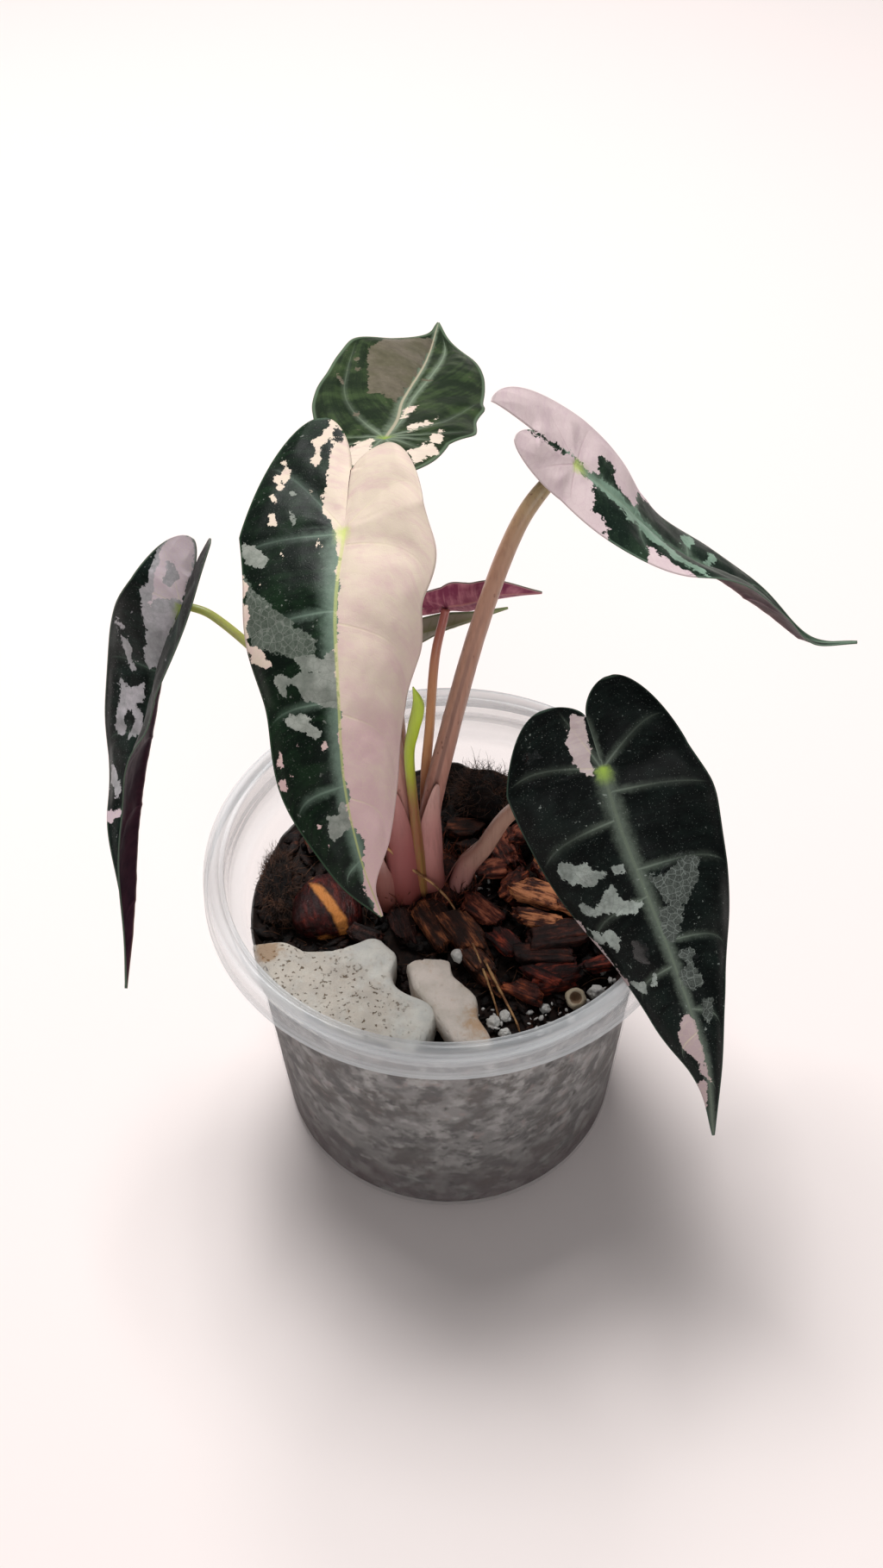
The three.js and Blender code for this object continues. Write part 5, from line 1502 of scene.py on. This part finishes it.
def half_blade(leaf, side, rows, columns, marks=None):
    """Points of half a blade: rows run from 1 at the tip through 0 at the stalk to -1 at the lobe's end,
    and columns, called q, from 0 at the midrib or sinus to 1 at the margin.

    With marks, a dict, it also notes the attributes of the leaf face: where each point lies among the veins.
    """
    half = leaf["right"] if side > 0 else leaf["left"]
    s, t = np.clip(rows, 0, None), np.clip(-rows, 0, None)
    middle, ahead = along(leaf["midrib"], s)
    at_stalk, at_tip = (unit(np.array(way, float)) for way in leaf["across"])
    share = (s * s * (3 - 2 * s))[:, None]
    across = unit(at_stalk * (1 - share) + at_tip * share)
    across = unit(across - ahead * (across * ahead).sum(-1, keepdims=True))
    normal = np.cross(across, ahead)
    width = np.maximum(through(WIDTH_AT, (*half["widths"], TIP_WIDTH), s), TIP_WIDTH)
    fold, curl = (np.radians(through(FOLD_AT, half[key], s)) for key in ("fold", "curl"))
    curl = np.where(np.abs(curl) < 1e-4, 1e-4, curl)[:, None]
    past = np.clip((t - SINUS_SHARE) / (1 - SINUS_SHARE), 0, None)
    width = width + sum(d * np.exp(-((s - at) / size)**2) for at, size, d in half.get("bumps", ()))
    outer = width * (half["lobe_end"] + (1 - half["lobe_end"]) * np.sqrt(1 - t**leaf["lobe_shape"]))
    inner = width * half["lobe_end"] * (1 - np.sqrt(1 - past**1.6))
    inner_back = leaf["sinus"] * np.minimum(t / SINUS_SHARE, 1) + (half["lobe"] - leaf["sinus"]) * past
    q = columns[None]
    back = inner_back[:, None] * (1 - q) + half["lobe"] * t[:, None] * q
    outer, inner, width, fold = outer[:, None], inner[:, None], width[:, None], fold[:, None]
    lateral = np.where(rows[:, None] < 0, inner + q * (outer - inner), q * width)
    reach = lateral / width
    bend = fold + curl * reach
    wave = np.sin(2 * np.pi * leaf["waves"] * (s - LOBE_SHARE * t) + half["phase"])[:, None]
    ripple = leaf["wave"] * reach**2 * np.minimum(width / 10, 1) * wave
    out = side * width * (np.sin(bend) - np.sin(fold)) / curl
    up = width * (np.cos(fold) - np.cos(bend)) / curl + ripple
    points = (middle[:, None] + across[:, None] * out[..., None] + normal[:, None] * up[..., None]
              - ahead[:, None] * back[..., None])
    if marks is not None:
        steps = np.diff(along(leaf["midrib"], np.linspace(0, 1, 60))[0], axis=0)
        length = np.linalg.norm(steps, axis=1).sum()
        in_lobe = rows[:, None] < 0
        first, steep = half.get("first", 0.0), half.get("steep", 0.03)
        rise = steep + 0.09 * smooth(s, 0, 1)[:, None]
        bowed = 0.4 * q + 0.6 * q**4
        turn = 1 - np.arctan2(lateral, back + 1e-6) / (np.pi / 2)
        row = np.where(in_lobe, -VEINS * (first + steep * bowed) - LOBE_VEINS * turn,
                       VEINS * (s[:, None] - first - rise * bowed))
        gap = np.where(in_lobe, np.hypot(lateral, back) * (np.pi / 2) / LOBE_VEINS, length / VEINS)
        if "rays" in half:
            ahead_by = np.where(in_lobe, -back, s[:, None] * length)
            angle = np.degrees(np.arctan2(lateral, ahead_by + 1e-6)) + 10 * q**3
            row = (half["rays"][0] - angle) / half["rays"][1]
            gap = np.hypot(lateral, ahead_by) * np.radians(half["rays"][1])
        edge = (1 - q) * (outer - inner * in_lobe)
        edge = np.where(in_lobe, np.minimum(edge, (1 - t[:, None]) * half["lobe"] * 0.5), edge)
        edge = np.where(rows[:, None] < -SINUS_SHARE, np.minimum(edge, q * (outer - inner)), edge)
        edge = np.minimum(edge, np.where(in_lobe, np.inf, (1 - s[:, None]) * length + 0.05))
        off = lateral + 14 * t[:, None]
        run = np.broadcast_to(rows[:, None], off.shape)
        marks.update(row=row, gap=gap, off=off, run=run, rim=edge,
                     flow=np.stack([row * gap, off, np.full(off.shape, side * 100.0)], -1))
    return points


def blade_sheet(leaf, rows_ahead, rows_behind, columns):
    """Both halves of a blade as one closed sheet: each half's two faces stand off its middle along the
    normals, thinner at the margin, and both rise between the side veins and sink along the midrib"""
    rows = np.concatenate([
        np.linspace(1, 0, rows_ahead + 1),
        -SINUS_SHARE * np.linspace(0, 1, rows_behind + 1)[1:],
        -SINUS_SHARE - (0.995 - SINUS_SHARE) * np.sin(np.pi / 2 * np.linspace(0, 1, rows_behind + 1)[1:]),
    ])
    across = np.linspace(0, 1, columns) ** 0.92
    halves = []
    for side in (1, -1):
        marks = {}
        points = half_blade(leaf, side, rows, across, marks)
        normal = side * np.cross(np.gradient(points, across, axis=1), np.gradient(points, rows, axis=0))
        halves.append((points, unit(normal), marks))
    joined = rows >= -SINUS_SHARE - 1e-9
    shared = unit(halves[0][1][:, 0] + halves[1][1][:, 0])
    parts, material = [], []
    for points, normal, marks in halves:
        normal[joined, 0] = shared[joined]
        turns = np.abs((marks["row"] + 0.5) % 1 - 0.5) * marks["gap"]
        inside = smooth(marks["rim"], 0, 4)
        quilt = 0.55 * (1 - np.exp(-(turns / 2.5)**2)) * smooth(marks["off"], 0, 5) * inside
        size = min(1.0, marks["gap"].max() / 16)
        crease = 0.1 * fractal(points, 3.0, 3, 31) * inside
        groove = -0.35 * np.exp(-(marks["off"] / 0.8)**2) * smooth(1 - marks["run"], 0, 0.2)
        ridge = 0.8 * np.exp(-(marks["off"] / 1.1)**2) * np.clip(1 - 0.75 * marks["run"], 0, 1)
        ridge = ridge * smooth(marks["run"], -0.25, 0) + 0.2 * np.exp(-(turns / 0.5)**2) * inside
        layer = RIM_LAYER + (UNDER_LAYER - RIM_LAYER) * smooth(marks["rim"], 0, 3)
        upper = points + normal * (layer + size * (quilt + crease + groove))[..., None]
        lower = points - normal * (layer + size * (ridge - quilt - crease))[..., None]
        count = points.shape[0] * points.shape[1]
        values = {key: np.tile(value.reshape(count, -1).squeeze().T, 2).T for key, value in marks.items()}
        quads = grid(*points.shape[:2])
        index = np.arange(count).reshape(points.shape[:2])
        edges = (index[:, -1], index[rows <= -SINUS_SHARE + 1e-9, 0], index[0], index[-1])
        strips = [np.stack([line[:-1], line[1:], line[1:] + count, line[:-1] + count], -1) for line in edges]
        strips = np.vstack(strips)
        sheet = np.vstack([upper.reshape(-1, 3), lower.reshape(-1, 3)])
        parts.append((sheet, np.vstack([quads, quads[:, ::-1] + count, strips]), values))
        material += [0] * len(quads) + [1] * len(quads) + [0] * len(strips)
    return parts, material


# Marks on the leaves, drawn over parts of the photograph, each with a left, a top and an enlargement, as
# outlines in the enlarged pixels

FRONT_TOP = (250, 360, 3.564)
FRONT_LOW = (220, 780, 3.409)
BACK_VIEW = (350, 360, 7.127)
PINK_VIEW = (560, 430, 3.564)
DARK_VIEW = (570, 760, 2.751)
FOLDED_VIEW = (100, 600, 2.8)

MARKS = [
    ("front", FRONT_TOP, "pale", [
        [(455, 455), (478, 545), (480, 590), (462, 640), (465, 720), (440, 770), (440, 820), (470, 870),
         (490, 900), (505, 960), (505, 1240), (500, 1400), (503, 1568), (900, 1568), (1000, 1000),
         (900, 500), (600, 440)],
        [(400, 535), (430, 525), (455, 500), (470, 530), (455, 550), (432, 565), (435, 620), (415, 640),
         (400, 620), (412, 580)],
        [(270, 620), (290, 615), (300, 640), (310, 660), (300, 700), (285, 715), (275, 690), (280, 650)],
        [(215, 840), (245, 838), (245, 885), (225, 885), (228, 860)],
        [(268, 730, 8)], [(245, 790, 10)], [(238, 775, 8)], [(255, 700, 10)], [(390, 750, 6)],
        [(425, 960, 10)], [(270, 1005, 7)], [(355, 1028, 6)], [(195, 1140, 8)],
        [(110, 1110), (130, 1150), (125, 1300), (140, 1390), (170, 1400), (200, 1430), (230, 1465),
         (200, 1480), (165, 1460), (130, 1410), (105, 1360), (103, 1200)],
    ]),
    ("front", FRONT_TOP, "no_pale", [
        [(500, 512, 24)],
    ]),
    ("front", FRONT_TOP, "grey", [
        [(322, 755, 12)],
        [(305, 840), (325, 835), (332, 880), (340, 905), (315, 900), (300, 875)],
        [(108, 950), (160, 980), (205, 1030), (208, 1065), (160, 1060), (125, 1065), (105, 1010)],
        [(330, 1440), (390, 1430), (430, 1440), (500, 1410), (505, 1568), (480, 1568), (440, 1500),
         (350, 1510), (345, 1480)],
    ]),
    ("front", FRONT_TOP, "net", [
        [(112, 1100), (150, 1150), (190, 1190), (235, 1220), (270, 1255), (320, 1300), (350, 1325),
         (400, 1340), (415, 1360), (410, 1400), (385, 1425), (330, 1440), (250, 1420), (190, 1400),
         (150, 1400), (120, 1330), (115, 1200)],
    ]),
    ("front", FRONT_LOW, "pale", [
        [(590, -60), (595, 150), (600, 300), (615, 430), (635, 560), (650, 620), (695, 665), (698, 700),
         (685, 740), (690, 790), (680, 800), (690, 850), (700, 890), (730, 930), (757, 962), (800, 940),
         (1000, 400), (1000, -60)],
        [(352, 310), (368, 320), (366, 368), (350, 360)],
        [(535, 290, 12)], [(430, 300, 6)], [(460, 305, 6)], [(470, 315, 6)], [(405, 415, 9)],
        [(372, 435, 7)], [(378, 458, 7)], [(510, 605, 6)], [(515, 655, 6)], [(548, 685, 6)],
    ]),
    ("front", FRONT_LOW, "grey", [
        [(430, 0), (585, 0), (590, 150), (540, 145), (500, 130), (455, 110), (430, 60), (395, 30)],
        [(335, 10), (385, 5), (415, 40), (380, 50), (378, 100), (355, 65), (335, 45)],
        [(370, 185), (430, 165), (500, 170), (470, 200), (520, 235), (500, 262), (440, 230), (385, 215)],
        [(540, 575), (580, 560), (600, 520), (630, 540), (640, 600), (600, 655), (555, 665), (560, 620)],
    ]),
    ("back", BACK_VIEW, "pale", [
        [(380, 1150), (450, 1100), (520, 1080), (560, 1050), (600, 1080), (560, 1150), (480, 1250),
         (440, 1320), (400, 1290), (385, 1220)],
        [(880, 1160), (960, 1120), (1060, 1070), (1080, 1020), (1160, 1010), (1180, 1050), (1110, 1110),
         (1130, 1180), (1000, 1240), (940, 1260)],
        [(840, 985), (960, 940), (1090, 895), (1130, 890), (1080, 930), (960, 960), (850, 1000)],
        [(830, 880), (860, 800), (955, 775), (900, 840), (850, 890)],
    ]),
    ("back", BACK_VIEW, "grey", [
        [(545, 320), (640, 260), (700, 225), (900, 225), (1080, 250), (1085, 310), (1040, 360), (960, 500),
         (900, 620), (870, 640), (780, 740), (700, 700), (640, 680), (570, 695), (555, 640), (545, 500)],
        [(280, 510), (310, 510), (355, 585), (335, 595), (300, 560)],
        [(435, 400), (470, 395), (490, 485), (470, 490)],
        [(435, 850), (475, 840), (470, 862), (440, 865)],
        [(1010, 575), (1090, 565), (1090, 590), (1030, 595)],
    ]),
    ("pink", PINK_VIEW, "no_pale", [
        [(188, 240), (230, 255), (280, 285), (315, 305), (360, 335), (390, 365), (375, 360), (330, 335),
         (280, 310), (230, 270)],
        [(485, 352), (500, 375), (515, 385), (530, 400), (545, 430), (548, 465), (600, 530), (640, 560),
         (690, 610), (720, 650), (700, 655), (640, 600), (580, 550), (520, 500), (470, 440), (475, 410),
         (492, 395)],
        [(455, 490), (500, 500), (560, 560), (650, 640), (720, 700), (730, 735), (680, 720), (685, 770),
         (690, 805), (650, 795), (600, 765), (560, 740), (520, 700), (495, 665), (520, 655), (500, 620),
         (470, 580), (450, 585), (447, 570), (470, 555), (470, 530)],
        [(640, 515), (700, 555), (760, 565), (900, 640), (1100, 780), (1300, 980), (1400, 1050),
         (1620, 1040), (1620, 1190), (1400, 1190), (1280, 1110), (1100, 960), (960, 870), (860, 840),
         (800, 800), (700, 730), (600, 650)],
        [(315, 300), (360, 320), (395, 365), (345, 340)],
        [(384, 372), (440, 415), (500, 450), (560, 490), (640, 570), (700, 640), (780, 720), (860, 790),
         (1000, 870), (1000, 900), (900, 850), (800, 790), (700, 720), (640, 660), (560, 580), (500, 520),
         (440, 455), (395, 405)],
    ]),
    ("pink", PINK_VIEW, "pale", [
        [(680, 722), (730, 735), (760, 760), (800, 800), (840, 830), (760, 825), (700, 810), (688, 800)],
        [(505, 545, 12)], [(535, 600, 9)], [(505, 590, 10)], [(560, 650, 10)], [(540, 690, 9)],
        [(590, 715, 8)], [(520, 640, 8)], [(575, 610, 7)],
    ]),
    ("pink", PINK_VIEW, "grey", [
        [(315, 300), (360, 320), (395, 365), (345, 340)],
        [(384, 376), (440, 420), (500, 455), (560, 497), (640, 580), (700, 650), (780, 735), (860, 800),
         (960, 860), (920, 855), (800, 780), (700, 705), (640, 645), (560, 565), (500, 508), (440, 446),
         (395, 400)],
        [(850, 700, 26)], [(940, 785, 24)],
    ]),
    ("dark", DARK_VIEW, "pale", [
        [(250, 190), (290, 200), (300, 200), (305, 260), (318, 300), (320, 380), (290, 375), (262, 345),
         (240, 285), (240, 240)],
        [(620, 1150), (650, 1160), (660, 1220), (680, 1290), (690, 1345), (700, 1360), (670, 1330),
         (640, 1280), (610, 1260), (595, 1200), (610, 1170)],
        [(652, 1372), (676, 1352), (692, 1362), (690, 1410), (680, 1450), (664, 1432)],
        [(262, 835), (300, 880), (350, 940), (400, 1000), (440, 1052), (432, 1058), (390, 1010), (340, 950),
         (290, 890), (250, 840)],
    ]),
    ("dark", DARK_VIEW, "grey", [
        [(212, 690), (225, 668), (258, 672), (305, 658), (318, 684), (365, 694), (335, 728), (300, 745),
         (250, 738), (226, 718)],
        [(285, 800), (330, 810), (355, 770), (370, 735), (390, 735), (400, 770), (440, 785), (480, 790),
         (470, 825), (420, 830), (370, 820), (320, 835), (290, 825)],
        [(305, 870), (350, 890), (375, 880), (415, 905), (400, 945), (365, 925), (330, 915)],
        [(385, 680), (420, 668), (430, 695), (395, 705)],
        [(440, 1045), (490, 1040), (495, 1075), (465, 1070)],
        [(520, 1025), (535, 1060), (510, 1060)],
    ]),
    ("dark", DARK_VIEW, "net", [
        [(485, 700), (510, 690), (550, 705), (600, 660), (650, 640), (670, 650), (655, 730), (620, 790),
         (590, 800), (555, 780), (530, 745)],
        [(540, 810), (600, 790), (615, 830), (605, 880), (575, 915), (545, 880)],
        [(580, 950), (640, 925), (665, 950), (640, 970), (660, 1000), (670, 1050), (650, 1085), (610, 1060),
         (600, 1010), (620, 980)],
        [(670, 1100), (705, 1095), (710, 1140), (690, 1170), (672, 1150)],
    ]),
    ("dark", DARK_VIEW, "wet", [
        [(535, 690), (560, 650), (600, 630), (650, 625), (650, 640), (600, 650), (570, 670), (550, 695)],
        [(450, 910), (480, 905), (505, 940), (500, 985), (455, 975)],
        [(270, 690), (310, 670), (335, 700), (320, 735), (285, 725)],
        [(600, 940), (640, 930), (660, 960), (620, 975)],
        [(100, 320), (150, 305), (160, 325), (110, 345)],
    ]),
    ("folded", FOLDED_VIEW, "pale", [
        [(255, 90), (290, 55), (330, 60), (350, 100), (345, 150), (330, 200), (315, 280), (280, 265),
         (230, 260), (205, 285), (215, 240), (225, 170), (235, 120)],
        [(68, 960), (90, 950), (112, 955), (105, 970), (80, 1000), (68, 985)],
    ]),
    ("folded", FOLDED_VIEW, "no_pale", [
        [(255, 140), (285, 135), (300, 200), (270, 225), (250, 210), (265, 170)],
    ]),
    ("folded", FOLDED_VIEW, "grey", [
        [(255, 140), (285, 135), (300, 200), (270, 225), (250, 210), (265, 170)],
        [(180, 300), (175, 240), (200, 190), (225, 120), (240, 95), (280, 40), (350, 40), (365, 110),
         (350, 230), (330, 290), (300, 340), (270, 400), (240, 490), (205, 490), (190, 430), (195, 370),
         (185, 340)],
        [(115, 385), (130, 390), (150, 430), (162, 495), (140, 495), (125, 430)],
        [(115, 510), (130, 560), (190, 535), (185, 600), (160, 610), (190, 650), (180, 700), (140, 715),
         (160, 650), (150, 625), (130, 620), (120, 715), (92, 700), (95, 640), (115, 600), (105, 550)],
        [(80, 800), (95, 810), (115, 890), (95, 920), (85, 880)],
        [(98, 320), (125, 350), (120, 365), (100, 340)],
    ]),
]
KINDS = ("pale", "grey", "net", "wet")


def drawn_on(name):
    """The marks of a leaf as {kind: [(view, outline), ...]}, carved parts last"""
    marks = {}
    for leaf, view, kind, outlines in MARKS:
        if leaf == name:
            marks.setdefault(kind, []).extend((view, outline) for outline in outlines)
    return dict(sorted(marks.items(), key=lambda item: item[0].startswith("no_")))


def leaf_faces(name):
    """The upper and under finish of each leaf"""
    looks = {
        "front": (
            dict(Green=(11, 20, 14), Second_green=(24, 42, 26), Pale=(224, 206, 188),
                 Blush=(214, 180, 180), Grey=(150, 152, 144), Net=(92, 100, 90),
                 Vein=(126, 146, 130), Rib=(196, 200, 124), Heart=(206, 214, 130),
                 Margin=(60, 84, 62), Pale_line=(226, 216, 176), Rib_strength=0.6, Halo_width=4.6),
            dict(Green=(70, 34, 52), Second_green=(92, 48, 66), Pale=(206, 160, 160))),
        "back": (
            dict(Green=(28, 40, 24), Second_green=(58, 74, 44), Grey=(108, 100, 86),
                 Net=(86, 84, 62), Vein=(140, 154, 132), Rib=(186, 174, 150),
                 Heart=(140, 164, 70), Halo=0.6, Halo_width=2.6, Pale=(224, 208, 192),
                 Blush=(214, 184, 176), Rib_strength=0.75, Margin=(104, 122, 98), Rim_width=0.9,
                 Vein_halo=0.9),
            dict(Green=(74, 44, 56), Second_green=(100, 72, 74))),
        "pink": (
            dict(Green=(22, 34, 27), Second_green=(42, 58, 44), Pale=(222, 202, 202),
                 Blush=(208, 182, 190), Grey=(132, 156, 138), Net=(110, 134, 116),
                 Vein=(120, 140, 122), Rib=(144, 162, 142), Heart=(190, 204, 120),
                 Margin=(110, 130, 112), Pale_line=(196, 166, 172)),
            dict(Green=(74, 58, 62), Second_green=(98, 82, 80), Pale=(104, 84, 86),
                 Blush=(86, 68, 72))),
        "dark": (
            dict(Green=(8, 12, 11), Second_green=(20, 28, 25), Grey=(164, 172, 165),
                 Net=(78, 83, 78), Vein=(128, 140, 126), Rib=(124, 136, 114),
                 Heart=(170, 200, 84), Pale=(204, 188, 188), Blush=(186, 164, 166),
                 Halo=0.52, Halo_width=3.4, Margin=(70, 88, 76), Rib_strength=0.25, Vein_halo=0.75),
            dict(Green=(58, 28, 44), Second_green=(78, 40, 56), Pale=(200, 150, 152))),
        "folded": (
            dict(Green=(9, 16, 13), Second_green=(26, 38, 33), Grey=(192, 186, 190),
                 Net=(136, 138, 136), Pale=(214, 198, 204), Blush=(204, 182, 190),
                 Rib=(150, 164, 120), Vein=(92, 112, 98), Heart=(160, 176, 90),
                 Margin=(96, 112, 96), Halo=0.4),
            dict(Green=(42, 22, 34), Second_green=(62, 34, 46), Pale=(120, 80, 92),
                 Grey=(70, 48, 58), Net=(60, 40, 50), Vein=(86, 52, 66), Halo=0.1)),
        "small_high": (
            dict(Green=(64, 58, 50), Second_green=(96, 84, 72), Pale=(220, 190, 184)),
            dict(Green=(126, 56, 82), Second_green=(190, 124, 138), Vein=(190, 130, 140),
                 Rib=(206, 150, 140), Heart=(96, 30, 56), Margin=(190, 150, 150))),
        "small_low": (
            dict(Green=(200, 190, 164), Second_green=(216, 208, 184), Vein=(176, 176, 130),
                 Rib=(190, 190, 130), Heart=(176, 180, 110), Margin=(104, 128, 76), Rim_width=0.9),
            dict(Green=(180, 162, 140), Second_green=(200, 180, 160), Vein=(186, 150, 140),
                 Margin=(104, 128, 76), Rim_width=0.9)),
    }
    upper, under = looks[name]
    under = {"Vein": (150, 110, 120), "Rib": (180, 150, 130), "Heart": (170, 130, 110),
             "Grey": (120, 96, 100), "Blush": (196, 140, 146), "Net": (96, 70, 80),
             "Halo": 0.2, "Specks": 0.15, **under}
    shine = 0.1
    return [leaf_finish(f"leaf_{name}_upper", 0.42, 0.3, shine, **upper),
            leaf_finish(f"leaf_{name}_under", 0.5, 0.3, shine, **under)]


# Steps from the stalk to the tip, to the lobe's end in each of two spans, and from the midrib to the margin
BLADE_STEPS = (122, 22, 34)
SMALL_BLADE_STEPS = (60, 14, 18)


def inverse_of(points, carved):
    """How far points lie outside all the carved outlines, in mm"""
    return -fields(points, {"carved": carved}, ("carved",))["carved"]


def make_leaves():
    for name, leaf in LEAVES.items():
        small = name.startswith("small")
        parts, material = blade_sheet(leaf, *(SMALL_BLADE_STEPS if small else BLADE_STEPS))
        for index, (points, _, values) in enumerate(parts):
            marks = drawn_on(name)
            if name == "folded" and index == 1:
                marks = {}
            found = fields(points, marks, KINDS)
            if name == "pink":
                found["pale"] = np.maximum(found["pale"], inverse_of(points, marks.get("no_pale", [])))
            values.update(found)
        points, faces, values = gather(parts)
        piece(f"leaf_{name}_blade", points, faces, values, leaf_faces(name), [f"leaf_{name}"],
              face_material=material)


# The room

def lamp(name, at, target, size, power):
    light = bpy.data.lights.new(name, "AREA")
    light.shape = "DISK"
    light.size = size
    light.energy = power
    thing = bpy.data.objects.new(name, light)
    thing.location = at
    thing.rotation_euler = (Vector(target) - Vector(at)).to_track_quat("-Z", "Y").to_euler()
    bpy.context.scene.collection.objects.link(thing)


def make_room():
    """A pale floor and soft light: a large lamp above and behind, a wide weak one in front, a white sky"""
    reach = 4.0
    mesh = bpy.data.meshes.new("floor")
    mesh.from_pydata([(-reach, -reach, 0), (reach, -reach, 0), (reach, reach, 0), (-reach, reach, 0)], [],
                     [(0, 1, 2, 3)])
    floor = bpy.data.objects.new("floor", mesh)
    bpy.context.scene.collection.objects.link(floor)
    material, tree, shader = finish_of("pale_floor")
    dress(tree, shader, Base_Color=(246, 235, 232), Roughness=0.85, Specular_IOR_Level=0.2)
    mesh.materials.append(material)
    lamp("key", (-0.16, 0.5, 1.3), (0, 0, 0.08), 0.65, 20)
    lamp("fill", (0.15, -1.5, 0.5), (0, 0, 0.08), 1.0, 7)
    world = bpy.data.worlds.new("sky")
    bpy.context.scene.world = world
    world.use_nodes = True
    sky = world.node_tree.nodes["Background"].inputs
    sky["Color"].default_value = (0.96, 0.98, 1, 1)
    sky["Strength"].default_value = 0.17
    bpy.context.scene.view_settings.view_transform = "Standard"


make_camera()
make_room()
make_cup()
make_mix()
make_crumbs()
make_stones()
make_grains()
make_bark()
make_shards()
make_fuzz()
make_stem_base()
make_stalks()
make_rolled_leaf()
make_sheaths()
make_fibres()
make_leaves()
